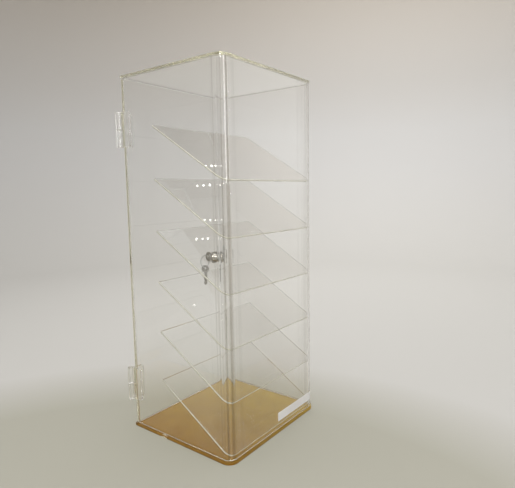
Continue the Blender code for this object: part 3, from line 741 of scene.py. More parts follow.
@dataclass(frozen=True)
class Paper(Finish):
    """Paper with visible fibres and clouding."""

    light: Colour = (0.8, 0.8, 0.8)
    dark: Colour = (0.7, 0.7, 0.7)
    grain: float = 900.0
    roughness: float = 0.8
    shine: float = 0.5
    fibre_depth: float = 0.0002
    fibre_span: Point = (0.36, 0.64)
    fibre_satin: Point = (-0.12, 0.08)
    light_at_plus_x: Colour = (0.8, 0.8, 0.8)
    dark_at_plus_x: Colour = (0.7, 0.7, 0.7)
    # colour of the darkened rim: partly browned paper, partly painted contact shadow along the base's edge
    rim_brown_and_painted_shadow_colour: Colour = (0.2, 0.1, 0.02)
    rim_width: float = 0.0
    rim_reach: Point = (0.4, 1.6)
    sheet: Triple = (1.0, -1.0, 1.0)  # half width, front edge and back edge

    def rim(self, kit: NodeKit, vector: Socket) -> Socket:
        """Give a mask of the sheet's darkened rim, partly browned paper and partly painted contact shadow along the
        base's edge: 1 at its edge, fading inward, with uneven width.
        """
        side, front, back = self.sheet
        place = kit.add("SeparateXYZ", {0: vector}).outputs
        from_side = kit.sum("SUBTRACT", side, kit.sum("ABSOLUTE", place["X"], 0.0))
        from_ends = kit.sum("MINIMUM", kit.sum("SUBTRACT", place["Y"], front),
                            kit.sum("SUBTRACT", back, place["Y"]))
        uneven = kit.sum("MULTIPLY", kit.noise(vector, 60.0), self.rim_width)
        inward = kit.sum("ADD", kit.sum("MINIMUM", from_side, from_ends), uneven)
        near, far = self.rim_reach
        return kit.span(inward, near * self.rim_width, far * self.rim_width, 1.0, 0.0)

    def surface(self, kit: NodeKit, vector: Socket) -> dict[str, object]:
        """Add the finish's nodes and return what feeds its main shader, by socket."""
        fibre = PAPER_FIBRE.place(kit, vector=vector, grain=self.grain)
        shade = kit.span(fibre["Shade"], *self.fibre_span)
        bump = kit.add("Bump", {"Strength": 0.35, "Distance": self.fibre_depth, "Height": fibre["Height"]})
        rough = kit.span(fibre["Height"], 0.3, 0.7, *(self.roughness + change for change in self.fibre_satin))
        colour = kit.tint(shade, self.dark, self.light)
        if self.rim_width > 0:
            side = self.sheet[0]
            # The paper's colour changes across X, to lighter, yellower colours towards +X.
            across = kit.span(kit.add("SeparateXYZ", {0: vector}).outputs["X"], -side, side)
            colour = kit.tint(across, colour, kit.tint(shade, self.dark_at_plus_x, self.light_at_plus_x))
            # Darkened rim: partly browned paper edge, partly painted contact shadow along the base's edge.
            colour = kit.tint(self.rim(kit, vector), colour, self.rim_brown_and_painted_shadow_colour)
        return {
            "Base Color": colour, "Roughness": rough, "Specular IOR Level": self.shine,
            "Normal": bump.outputs["Normal"],
        }


@dataclass(frozen=True)
class PlatedMetal(Finish):
    """Plated metal with polishing lines and dull patches."""

    bright: Colour = (0.7, 0.7, 0.7)
    dull: Colour = (0.6, 0.6, 0.6)
    polished_roughness: float = 0.12
    dull_roughness: float = 0.30
    line_depth: float = 0.00002

    def surface(self, kit: NodeKit, vector: Socket) -> dict[str, object]:
        """Add the finish's nodes and return what feeds its main shader, by socket."""
        grain = PLATING_GRAIN.place(kit, vector=vector, polished=self.polished_roughness,
                                    dull=self.dull_roughness)
        bump = kit.add("Bump", {"Strength": 0.5, "Distance": self.line_depth, "Height": grain["Height"]})
        return {
            "Base Color": kit.tint(grain["Shade"], self.bright, self.dull), "Metallic": 1.0,
            "Roughness": grain["Roughness"], "Normal": bump.outputs["Normal"],
        }


@dataclass(frozen=True)
class StudioPaint(Finish):
    """Matt pale paint that changes softly from the floor round the object up to the top of the wall."""

    floor_colour: Colour = (0.39, 0.38, 0.325)
    ground_colour: Colour = (0.53, 0.52, 0.495)
    wall_colour: Colour = (0.54, 0.533, 0.522)
    upper_colour: Colour = (0.48, 0.435, 0.38)
    floor_middle: Triple = (-0.51, -0.23, 0.0)
    floor_fade: Point = (0.62, 0.84)
    ground_fade: Point = (0.0, 0.6)
    upper_fade: Point = (0.9, 2.2)
    roughness: float = 0.9

    def surface(self, kit: NodeKit, vector: Socket) -> dict[str, object]:
        """Add the finish's nodes and return what feeds its main shader, by socket."""
        out = kit.add("VectorMath", {0: vector, 1: self.floor_middle}, operation="DISTANCE").outputs[1]
        height = kit.add("SeparateXYZ", {0: vector}).outputs["Z"]
        ground = kit.tint(kit.span(height, *self.ground_fade), self.ground_colour, self.wall_colour)
        wall = kit.tint(kit.span(height, *self.upper_fade), ground, self.upper_colour)
        colour = kit.tint(kit.span(out, *self.floor_fade), self.floor_colour, wall)
        return {"Base Color": colour, "Roughness": self.roughness, "Specular IOR Level": 0.0}


STUDIO_PAINT = StudioPaint("pale_studio_paint")
ACRYLIC = ClearPlastic("polished_acrylic", Slot.ACRYLIC)
HINGE_PLASTIC = ClearPlastic("moulded_hinge_plastic", Slot.HINGE, absorbed=(0.80, 0.80, 0.72), density=6.0,
                             smudge=0.03)
CEMENT = CementFilm("dried_cement", Slot.ACRYLIC)
FOOT_CEMENT = CementFilm("thin_foot_cement", Slot.ACRYLIC, colour=(0.90, 0.82, 0.62), thin=0.05, full=0.5)
KRAFT = Paper("brown_masking_paper", Slot.KRAFT, light=(0.34, 0.18, 0.018), dark=(0.235, 0.108, 0.01),
              light_at_plus_x=(0.51, 0.345, 0.044), dark_at_plus_x=(0.385, 0.245, 0.03), grain=700.0, roughness=0.75,
              shine=0.0, rim_brown_and_painted_shadow_colour=(0.13, 0.062, 0.008), rim_width=0.005)
TORN_PLY = Paper("torn_paper_ply", Slot.KRAFT, light=(0.80, 0.74, 0.60), dark=(0.62, 0.52, 0.36),
                 grain=1100.0)
LABEL_PAPER = Paper("blank_label_paper", Slot.LABEL, light=(0.88, 0.87, 0.88), dark=(0.80, 0.79, 0.80),
                    grain=1500.0, roughness=0.5)
NICKEL = PlatedMetal("nickel_plate", Slot.NICKEL, bright=(0.64, 0.62, 0.58), dull=(0.32, 0.30, 0.27),
                     polished_roughness=0.08, dull_roughness=0.24)
# The keys' nickel is darker and duller than the lock's.
KEY_NICKEL = PlatedMetal("dark_key_nickel", Slot.NICKEL, bright=(0.36, 0.34, 0.29), dull=(0.20, 0.185, 0.155),
                         polished_roughness=0.16, dull_roughness=0.36)
STEEL = PlatedMetal("zinc_plated_steel", Slot.STEEL, bright=(0.62, 0.63, 0.64), dull=(0.46, 0.47, 0.47),
                    polished_roughness=0.25, dull_roughness=0.45)
BRASS = PlatedMetal("nickel_washed_brass", Slot.BRASS, bright=(0.74, 0.70, 0.60), dull=(0.58, 0.52, 0.40),
                    polished_roughness=0.18, dull_roughness=0.36)


def hand_over(piece: bpy.types.Object, body: Body, finish: Finish, *nodes: str,
              cut_edge: Callable[[bpy.types.MeshPolygon], float] | None = None) -> None:
    """Smooth and dress a piece, let it ride on its body and let it stand for its nodes.

    Args:
        piece: The finished piece. A film, which stands for no node, keeps its plain normals.
        body: The body that carries it.
        finish: The finish that it wears.
        nodes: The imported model's nodes that it stands for.
        cut_edge: Tells faces with saw marks, 1, from others, 0.
    """
    if nodes:
        keep_flats_true(piece)
    if cut_edge:
        mark(piece, Mask.CUT_EDGE, cut_edge)
    piece.data.materials.clear()
    piece.data.materials.append(finish.material())
    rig.ride(piece, body.value)
    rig.slot(piece, finish.slot.value)
    if nodes:
        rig.replaces(piece, *nodes)
    LOG.info("%s rides on %s in %s, %d faces", piece.name, body.value, finish.name, len(piece.data.polygons))


@dataclass
class Packed:
    """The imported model's measures that the pieces are built from."""

    frame: dict = field(default_factory=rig.load)

    def joint_point(self, name: str) -> Vector:
        """Give the point that a joint's axis passes through."""
        return next(Vector(j["pos_m"]) for j in self.frame["joints"] if j["name"] == name)

    def largest_normal(self, node: str) -> Vector:
        """Give the normal of a node's largest face, turned upward."""
        faces = self.frame["nodes"][node].data.polygons
        normal = Vector(max(faces, key=lambda face: face.area).normal)
        return normal if normal.z > 0 else -normal

    def turned_box(self, node: str, turn: Matrix) -> tuple[Vector, Vector]:
        """Measure a node along turned axes.

        Args:
            node: The node's name.
            turn: The turn from the measured axes to the frame's.

        Returns:
            The lowest and the highest corner along the turned axes.
        """
        back = turn.inverted()
        points = [back @ vertex.co for vertex in self.frame["nodes"][node].data.vertices]
        low = Vector(min(point[axis] for point in points) for axis in range(3))
        high = Vector(max(point[axis] for point in points) for axis in range(3))
        return low, high


@dataclass
class CaseShell:
    """The bent wall sheet, the lid and the base, cemented together."""

    bend_radius: float = 0.011
    wall_thickness: float = 0.004
    back_corner: float = 0.001
    arris: float = 0.0004
    edge_margin: float = 1.01  # arris widths from the back that count as the rear edge
    bend_steps: int = 40
    warmed_width: float = 0.022
    film_inset: float = 0.0003
    film_clearance: float = 0.00005

    def __post_init__(self) -> None:
        """Measure the walls."""
        self.low, self.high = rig.box("wall_wrap")
        self.outer_bend = self.bend_radius + self.wall_thickness
        self.bend_x, self.bend_y = self.high.x - self.outer_bend, self.low.y + self.outer_bend

    def wall_trace(self, inset: float) -> list[Point]:
        """List the line along the wall sheet at an inset from its outer face, left to right."""
        x, y = self.high.x - inset, self.low.y + inset
        radius = self.outer_bend - inset
        left = quarter((-self.bend_x, self.bend_y), (radius, radius), 2, self.bend_steps)
        right = quarter((self.bend_x, self.bend_y), (radius, radius), 3, self.bend_steps)
        side, front = self.bend_y + self.warmed_width, self.bend_x - self.warmed_width
        return [(-x, self.high.y), (-x, side), *left, (-front, y),
                (front, y), *right, (x, side), (x, self.high.y)]

    def panel_outline(self, low: Vector, high: Vector) -> list[Point]:
        """List the outline of a level sheet whose front corners follow the wall's bends."""
        bend = self.outer_bend + high.x - self.high.x
        radii = (bend, bend, self.back_corner, self.back_corner)
        return rounded_rectangle(low.xy, high.xy, radii, self.bend_steps)

    def warmth(self, point: bpy.types.MeshVertex) -> float:
        """Tell how far a point of the sheet was warmed for its bend: 1 in the bend, fading out beside it."""
        beside = max(self.bend_x - abs(point.co.x), point.co.y - self.bend_y, 0.0)
        return max(0.0, 1.0 - beside / self.warmed_width)

    def is_wall_edge(self, face: bpy.types.MeshPolygon) -> float:
        """Tell the wall sheet's upper, lower and rear edges, 1, from its upright faces, 0."""
        rear = self.high.y - self.edge_margin * self.arris
        return float(abs(face.normal.z) > 1 - BROAD_FACE or face.center.y > rear)

    def build_walls(self) -> None:
        """Bend the wall sheet."""
        low, high = self.low.z, self.high.z
        sections = [[(*out, low), (*into, low), (*into, high), (*out, high)]
                    for out, into in zip(self.wall_trace(0.0), self.wall_trace(self.wall_thickness))]
        walls = Solid.rings(sections).round_edges(self.arris).piece("bent_wall_sheet")
        mark(walls, Mask.BEND, self.warmth, by_point=True)
        hand_over(walls, Body.CASE, ACRYLIC, "wall_wrap", cut_edge=self.is_wall_edge)

    def build_foot_film(self) -> None:
        """Lay the cement film under the wall sheet's foot."""
        inner = self.wall_trace(self.wall_thickness - self.film_inset)
        outline = self.wall_trace(self.film_inset) + inner[::-1]
        low, high = self.low.z - SEAT_GAP + self.film_clearance, self.low.z - self.film_clearance
        hand_over(Solid.plate([outline], low, high).piece("wall_foot_cement"), Body.CASE, FOOT_CEMENT)

    def build(self) -> None:
        """Build and dress the shell's pieces."""
        self.build_walls()
        for node in ("top_panel", "base_panel"):
            low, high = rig.box(node)
            sheet = Solid.plate([self.panel_outline(low, high)], low.z, high.z).round_edges(self.arris)
            hand_over(sheet.piece(node + "_sheet"), Body.CASE, ACRYLIC, node, cut_edge=is_cut_edge)
        self.build_foot_film()


@dataclass
class MaskingPaper:
    """The brown paper left under the base, stuck to it and torn at its left edge."""

    shell: CaseShell
    tear_from_back: float = 0.075
    tear_length: float = 0.018
    tear_depth: float = 0.006
    tear_edge: tuple[Point, ...] = (
        (0.50, 0.0), (0.36, 0.35), (0.22, 0.80), (0.06, 1.0),
        (-0.12, 0.48), (-0.25, 0.55), (-0.42, 0.30), (-0.50, 0.0),
    )
    ragged_steps: int = 9
    ragged_depth: float = 0.00035
    stuck_depth: float = 0.00002
    ply_clearance: float = 0.0001
    ply_share: float = 0.96
    seed: int = 4

    def tear(self, left: float, middle: float) -> list[Point]:
        """List the ragged torn edge from the back to the front.

        Args:
            left: Place of the sheet's left edge.
            middle: Place of the tear along that edge.

        Returns:
            The points in order.
        """
        draw = random.Random(self.seed)
        corners = [(left + deep * self.tear_depth, middle + along * self.tear_length)
                   for along, deep in self.tear_edge]
        edge: list[Point] = []
        for (x0, y0), (x1, y1) in zip(corners, corners[1:]):
            for step in range(self.ragged_steps):
                share = step / self.ragged_steps
                stray = draw.uniform(0.0, self.ragged_depth)
                edge.append((x0 + (x1 - x0) * share + stray, y0 + (y1 - y0) * share))
        return edge

    def build(self) -> None:
        """Build the sheet with its tear and the ply left in it, in contact with the base above them."""
        low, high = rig.box("base_paper")
        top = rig.box("base_panel")[0].z + self.stuck_depth
        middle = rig.box("door_panel")[1].y - self.tear_from_back
        tear = self.tear(low.x, middle)
        sheet = Solid.plate([self.shell.panel_outline(low, high) + tear], low.z, top).piece("masking_paper")
        hand_over(sheet, Body.CASE, replace(KRAFT, sheet=(high.x, low.y, high.y)), "base_paper")
        ply = [(max(x - self.ply_clearance, low.x), middle + (y - middle) * self.ply_share) for x, y in tear]
        hand_over(Solid.plate([ply], low.z, top).piece("torn_paper_ply"), Body.CASE, TORN_PLY)


@dataclass
class ShelfStack:
    """Six sloping shelves, cemented between the side walls and to the front wall."""

    packed: Packed
    shell: CaseShell
    count: int = 6
    arris: float = 0.00035
    film_thickness: float = 0.0002
    film_shy: float = 0.0003

    def outline(self, low: Vector, high: Vector, slope: float, grow: float) -> list[Point]:
        """List a shelf's outline from its left rear corner round the front to its right rear corner.

        Args:
            low: Lowest corner of the shelf along its own axes.
            high: Highest corner of the shelf along its own axes.
            slope: The shelf's slope in radians.
            grow: How far outside the shelf's edges the line runs.

        Returns:
            The points in order.
        """
        x, y = high.x + grow, low.y - grow
        across = self.shell.bend_radius - SEAT_GAP + grow
        along = (self.shell.bend_radius - SEAT_GAP) / math.cos(slope) + grow
        steps = self.shell.bend_steps
        left = quarter((-x + across, y + along), (across, along), 2, steps)
        right = quarter((x - across, y + along), (across, along), 3, steps)
        return [(-x, high.y), *left, *right, (x, high.y)]

    def build(self) -> None:
        """Build and dress every shelf and the cement round it."""
        for number in range(1, self.count + 1):
            node = f"shelf_{number}"
            normal = self.packed.largest_normal(node)
            slope = math.atan2(-normal.y, normal.z)
            turn = Matrix.Rotation(slope, 4, "X")
            low, high = self.packed.turned_box(node, turn)
            edge = self.outline(low, high, slope, 0.0)
            shelf = Solid.plate([edge], low.z, high.z).round_edges(self.arris)
            hand_over(shelf.piece(node + "_sheet", turn), Body.CASE, ACRYLIC, node, cut_edge=is_cut_edge)
            clear = (SEAT_GAP - self.film_thickness) / 2
            near = self.outline(low, high, slope, clear)
            far = self.outline(low, high, slope, clear + self.film_thickness)
            band = Solid.plate([far + near[::-1]], low.z + self.film_shy, high.z - self.film_shy)
            hand_over(band.piece(node + "_cement", turn), Body.CASE, CEMENT)


@dataclass
class FrontLabel:
    """The blank label on the front wall, wrapped a little way round the right bend."""

    shell: CaseShell
    corner: float = 0.0012
    corner_steps: int = 6
    wrap_steps: int = 24
    wrap_angle: float = math.radians(50)

    def build(self) -> None:
        """Build the label as one thin curved sheet with rounded corners."""
        low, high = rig.box("front_label")
        bend_x, bend_y = self.shell.bend_x, self.shell.bend_y
        front = bend_y - low.y
        back = self.shell.outer_bend + SEAT_GAP
        flat = bend_x - low.x
        length = flat + front * self.wrap_angle
        turns = [math.pi / 2 * step / self.corner_steps for step in range(self.corner_steps + 1)]
        ends = [self.corner * (1 - math.cos(a)) for a in turns]
        inner = [flat + front * self.wrap_angle * step / self.wrap_steps for step in range(self.wrap_steps)]
        stations = ends + [s for s in inner if s < length - self.corner] + [length - s for s in ends[::-1]]
        middle, half = (low.z + high.z) / 2, (high.z - low.z) / 2

        def section(along: float) -> list[Triple]:
            """List the label's section at a distance along it."""
            from_end = min(along, length - along, self.corner)
            drop = self.corner - math.sqrt(max(0.0, self.corner ** 2 - (self.corner - from_end) ** 2))
            angle = max(0.0, along - flat) / front
            points = []
            for radius, rise in ((front, -1), (front, 1), (back, 1), (back, -1)):
                x = bend_x + radius * math.sin(angle) if angle > 0 else low.x + along
                y = bend_y - radius * math.cos(angle)
                points.append((x, y, middle + rise * (half - drop)))
            return points

        label = Solid.rings([section(along) for along in stations]).piece("blank_label")
        hand_over(label, Body.CASE, LABEL_PAPER, "front_label")


@dataclass
class BackDoor:
    """The door sheet with the lock's hole, and the block that the turned cam lies behind."""

    packed: Packed
    corner: float = 0.001
    arris: float = 0.0004
    end_tilt: float = 0.5
    corner_steps: int = 6
    hole_steps: int = 40

    def is_strike_end(self, face: bpy.types.MeshPolygon) -> float:
        """Tell the strike block's sawn ends, 1, from its sides, 0."""
        return float(abs(face.normal.z) > self.end_tilt)

    def build(self) -> None:
        """Build and dress the door sheet and the strike block."""
        low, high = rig.box("door_panel")
        lock = self.packed.joint_point("lock_turn")
        outline = rounded_rectangle((low.x, -high.z), (high.x, -low.z), (self.corner,) * 4, self.corner_steps)
        hole = [(x + lock.x, y - lock.z) for x, y in barrel_hole(self.hole_steps)]
        upright = Matrix.Translation((0.0, high.y, 0.0)) @ FACING_BACK
        door = Solid.plate([outline, hole], low.y - high.y, 0.0).round_edges(self.arris)
        hand_over(door.piece("door_sheet", upright), Body.DOOR, ACRYLIC, "door_panel", cut_edge=is_cut_edge)

        low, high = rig.box("lock_strike")
        outline = rounded_rectangle(low.xy, high.xy, (self.corner,) * 4, self.corner_steps)
        strike = Solid.plate([outline], low.z, high.z).round_edges(self.arris).piece("cam_strike_block")
        hand_over(strike, Body.CASE, ACRYLIC, "lock_strike", cut_edge=self.is_strike_end)


@dataclass
class HingePair:
    """Two clear hinges round the outside of the left back corner, each of two like leaves and a pin."""

    packed: Packed
    leaf_thickness: float = 0.0035
    corner: float = 0.004
    pin_radius: float = 0.002
    notch_clearance: float = 0.0006
    edge_round: float = 0.0006
    knuckle_chamfer: float = 0.0005
    corner_steps: int = 8
    round_steps: int = 64

    def leaf(self, name: str, matrix: Matrix, half: float, barrel: float, free: float) -> bpy.types.Object:
        """Build one leaf with its knuckle on the barrel's lower half.

        Args:
            name: The piece's name.
            matrix: The leaf's place, with the barrel's axis on local Z.
            half: Half of the hinge's height.
            barrel: The barrel's radius.
            free: Place of the leaf's free edge, out from the axis.

        Returns:
            The leaf.
        """
        notch = -barrel - self.notch_clearance
        top = -SEAT_GAP / 2
        bend = (self.corner, self.corner)
        outline = [
            *quarter((free + self.corner, -half + self.corner), bend, 2, self.corner_steps),
            (-self.pin_radius, -half), (-self.pin_radius, top), (notch, top), (notch, half),
            *quarter((free + self.corner, half - self.corner), bend, 1, self.corner_steps),
        ]
        back = barrel - SEAT_GAP
        plate = Solid.plate([outline], back - self.leaf_thickness, back).round_edges(self.edge_round, 3)
        piece = plate.moved(ON_EDGE).piece(name)
        knuckle = rod_profile(barrel, -half, top, self.knuckle_chamfer)
        shape_with(piece, Solid.turned(knuckle, self.round_steps).piece("knuckle"), "UNION")
        bore = self.pin_radius + SEAT_GAP
        drill = [(0.0, -2 * half), (bore, -2 * half), (bore, 2 * half), (0.0, 2 * half)]
        shape_with(piece, Solid.turned(drill, self.round_steps).piece("drill"))
        piece.matrix_world = matrix
        return piece

    def build(self) -> None:
        """Build and dress both hinges."""
        axis = self.packed.joint_point("door_swing")
        turn_over = Matrix(((0, -1, 0, 0), (-1, 0, 0, 0), (0, 0, -1, 0), (0, 0, 0, 1)))
        for place in ("lower", "upper"):
            node, name = place + "_hinge_", place + "_hinge_leaf_on_"
            low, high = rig.box(node + "wall_leaf")
            half, barrel, free = (high.z - low.z) / 2, axis.x - low.x, low.y - axis.y
            middle = Matrix.Translation((axis.x, axis.y, (low.z + high.z) / 2))
            for side, body, turn in (("wall", Body.CASE, Matrix()), ("door", Body.DOOR, turn_over)):
                leaf = self.leaf(name + side, middle @ turn, half, barrel, free)
                hand_over(leaf, body, HINGE_PLASTIC, f"{node}{side}_leaf")
            low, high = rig.box(node + "pin")
            reach = (high.z - low.z) / 2
            profile = rod_profile(self.pin_radius, -reach, reach, self.knuckle_chamfer)
            rod = Solid.turned(profile, self.round_steps)
            hand_over(rod.piece(node + "pin_rod", middle), Body.CASE, HINGE_PLASTIC, node + "pin")


@dataclass
class CamLock:
    """The cam lock through the door: threaded housing, washer, nut, plug, wafers, cam and cam screw."""

    packed: Packed
    thread_pitch: float = 0.00125
    thread_depth: float = 0.0006
    thread_samples: int = 6
    chamfer: float = 0.0006
    dish: float = 0.0004
    rim_radius: float = 0.00775
    rim_thickness: float = 0.0015
    plug_radius: float = 0.0065
    nut_flats: float = 0.024
    nut_chamfer: float = math.radians(30)
    nut_steps: int = 8
    washer_radius: float = 0.0125
    keyway: Point = (0.0026, 0.0076)
    eye_width: float = 0.0087
    cam_tip: float = 0.003
    edge_round: float = 0.00025
    screw_head: float = 0.005
    screw_crown: float = 0.0012
    screw_shank: float = 0.002
    screw_tip: Point = (0.0015, 0.0005)
    screw_slot: Point = (0.001, 0.0012)
    crown_steps: int = 10
    round_steps: int = 96

    def __post_init__(self) -> None:
        """Find the lock's axis."""
        self.centre = self.packed.joint_point("lock_turn")
        self.place = Matrix.Translation(self.centre) @ FACING_BACK

    def reach(self, node: str) -> tuple[float, float]:
        """Give a node's extent along the lock's axis, outward from the door's outer face."""
        low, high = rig.box(node)
        return low.y - self.centre.y, high.y - self.centre.y

    def build_housing(self) -> None:
        """Turn the housing, its barrel threaded and flatted."""
        low, face = self.reach("lock_housing")
        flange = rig.box("lock_housing")[1].x - self.centre.x
        bore, rim_bore = self.plug_radius + SEAT_GAP, self.rim_radius + SEAT_GAP
        rim_floor = self.reach("lock_plug")[1] - self.rim_thickness - SEAT_GAP
        count = int((SEAT_GAP - low) / self.thread_pitch * self.thread_samples)
        barrel = [(BARREL_RADIUS, SEAT_GAP + (low - SEAT_GAP) * step / count) for step in range(count + 1)]
        cut = self.chamfer
        profile = [
            (rim_bore, face - cut / 2), (rim_bore + cut / 2, face), (flange - 3 * cut, face),
            (flange - 2.5 * cut, face - self.dish), (flange - 2 * cut, face - self.dish / 4),
            (flange - cut, face - self.dish / 2), (flange, face - cut), (flange, SEAT_GAP + cut / 2),
            (flange - cut / 2, SEAT_GAP), *barrel, (bore + cut / 2, low), (bore, low + cut / 2),
            (bore, rim_floor), (rim_bore, rim_floor),
        ]

        def warp(angle: float, radius: float, height: float) -> Triple:
            """Cut the thread and the two flats into the barrel."""
            if radius == BARREL_RADIUS:
                turn = (height / self.thread_pitch - angle / math.tau) % 1.0
                radius -= self.thread_depth * abs(2 * turn - 1)
                if height < low + cut:
                    radius -= cut * (1 - (height - low) / cut)
            x, y = radius * math.cos(angle), radius * math.sin(angle)
            if height < SEAT_GAP and radius > BARREL_FLATS / 2:
                y = max(-BARREL_FLATS / 2, min(BARREL_FLATS / 2, y))
            return x, y, height

        housing = Solid.turned(profile, self.round_steps, closed=True, warp=warp)
        hand_over(housing.piece("threaded_lock_housing", self.place), Body.DOOR, NICKEL, "lock_housing")

    def build_washer_and_nut(self) -> None:
        """Stamp the keyed washer and make the chamfered hexagon nut."""
        low, high = self.reach("lock_washer")
        rim = full_turn((0.0, 0.0), (self.washer_radius, self.washer_radius), self.round_steps)
        hole = barrel_hole(self.round_steps // 3)
        washer = Solid.plate([rim, hole], low, high).round_edges(self.edge_round)
        hand_over(washer.piece("keyed_washer", self.place), Body.DOOR, STEEL, "lock_washer")

        low, high = self.reach("lock_nut")
        apothem, bore = self.nut_flats / 2, BARREL_RADIUS + SEAT_GAP
        corner = apothem / math.cos(math.pi / 6)
        slope = math.tan(self.nut_chamfer)
        rise = [(corner - apothem) * slope * step / self.nut_steps for step in range(self.nut_steps + 1)]
        levels = [low + z for z in rise] + [high - z for z in rise[::-1]]
        cut = self.chamfer
        profile = [(bore + cut, low), *[(corner, z) for z in levels], (bore + cut, high), (bore, high - cut),
                   (bore, low + cut)]

        def warp(angle: float, radius: float, height: float) -> Triple:
            """Shape the hexagon and turn down its corners at both faces."""
            if radius == corner:
                off = (angle % (math.pi / 3)) - math.pi / 6
                cone = apothem + min(height - low, high - height) / slope
                radius = min(apothem / math.cos(off), cone)
            return radius * math.cos(angle), radius * math.sin(angle), height

        nut = Solid.turned(profile, 2 * self.round_steps, closed=True, warp=warp)
        hand_over(nut.piece("hexagon_nut", self.place), Body.DOOR, NICKEL, "lock_nut")

    def build_plug(self) -> None:
        """Turn the plug with its rim, stud and keyway, and dress the wafers inside it."""
        low, face = self.reach("lock_plug")
        end = self.reach("lock_housing")[0]
        cut = self.edge_round
        seat = face - self.rim_thickness
        profile = [
            (0.0, face), (self.rim_radius - 3 * cut, face), (self.rim_radius, face - 2 * cut),
            (self.rim_radius, seat), (self.plug_radius, seat), (self.plug_radius, end), (0.0, end),
        ]
        plug = Solid.turned(profile, self.round_steps).piece("lock_plug_with_keyway", self.place)
        stud_width = self.eye_width - 2 * SEAT_GAP
        stud = Solid.plate([box_outline(stud_width, stud_width)], low, end + cut).piece("stud", self.place)
        shape_with(plug, stud, "UNION")
        slot_end = self.reach("door_key")[0] - SEAT_GAP
        slot = Solid.plate([box_outline(*self.keyway)], slot_end, face + SEAT_GAP).piece("keyway", self.place)
        shape_with(plug, slot)
        hand_over(plug, Body.PLUG, BRASS, "lock_plug")
        for node in sorted(self.packed.frame["nodes"]):
            if node.startswith("lock_wafer"):
                wafer = self.packed.frame["nodes"][node].data.materials
                wafer.clear()
                wafer.append(BRASS.material())

    def build_cam(self) -> None:
        """Stamp the cam and turn its slotted screw."""
        low, high = self.reach("lock_cam")
        box_low, box_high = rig.box("lock_cam")
        half, length = (box_high.x - box_low.x) / 2, box_high.z - self.centre.z
        tip, steps = self.cam_tip, self.round_steps // 8
        outline = [
            *arc((0.0, 0.0), (half, half), 0.0, math.pi, 4 * steps),
            *quarter((tip - half, tip - length), (tip, tip), 2, steps),
            *quarter((half - tip, tip - length), (tip, tip), 3, steps),
        ]
        eye = box_outline(self.eye_width, self.eye_width)
        cam = Solid.plate([outline, eye], low, high).round_edges(self.edge_round)
        hand_over(cam.piece("stamped_cam", self.place), Body.PLUG, STEEL, "lock_cam")

        seat = low - SEAT_GAP
        low, end = self.reach("cam_screw")
        head, crown, shank = self.screw_head, self.screw_crown, self.screw_shank
        tip_radius, tip_length = self.screw_tip
        profile = [
            *quarter((0.0, low + crown), (head, crown), -1, self.crown_steps), (head, seat),
            (shank, seat), (shank, end - tip_length), (tip_radius, end), (0.0, end),
        ]
        screw = Solid.turned(profile, self.round_steps).piece("slotted_cam_screw", self.place)
        width, depth = self.screw_slot
        slot = [box_outline(3 * head, width)]
        shape_with(screw, Solid.plate(slot, low - depth, low + depth).piece("slot", self.place))
        hand_over(screw, Body.PLUG, STEEL, "cam_screw")

    def build(self) -> None:
        """Build and dress the whole lock."""
        self.build_housing()
        self.build_washer_and_nut()
        self.build_plug()
        self.build_cam()


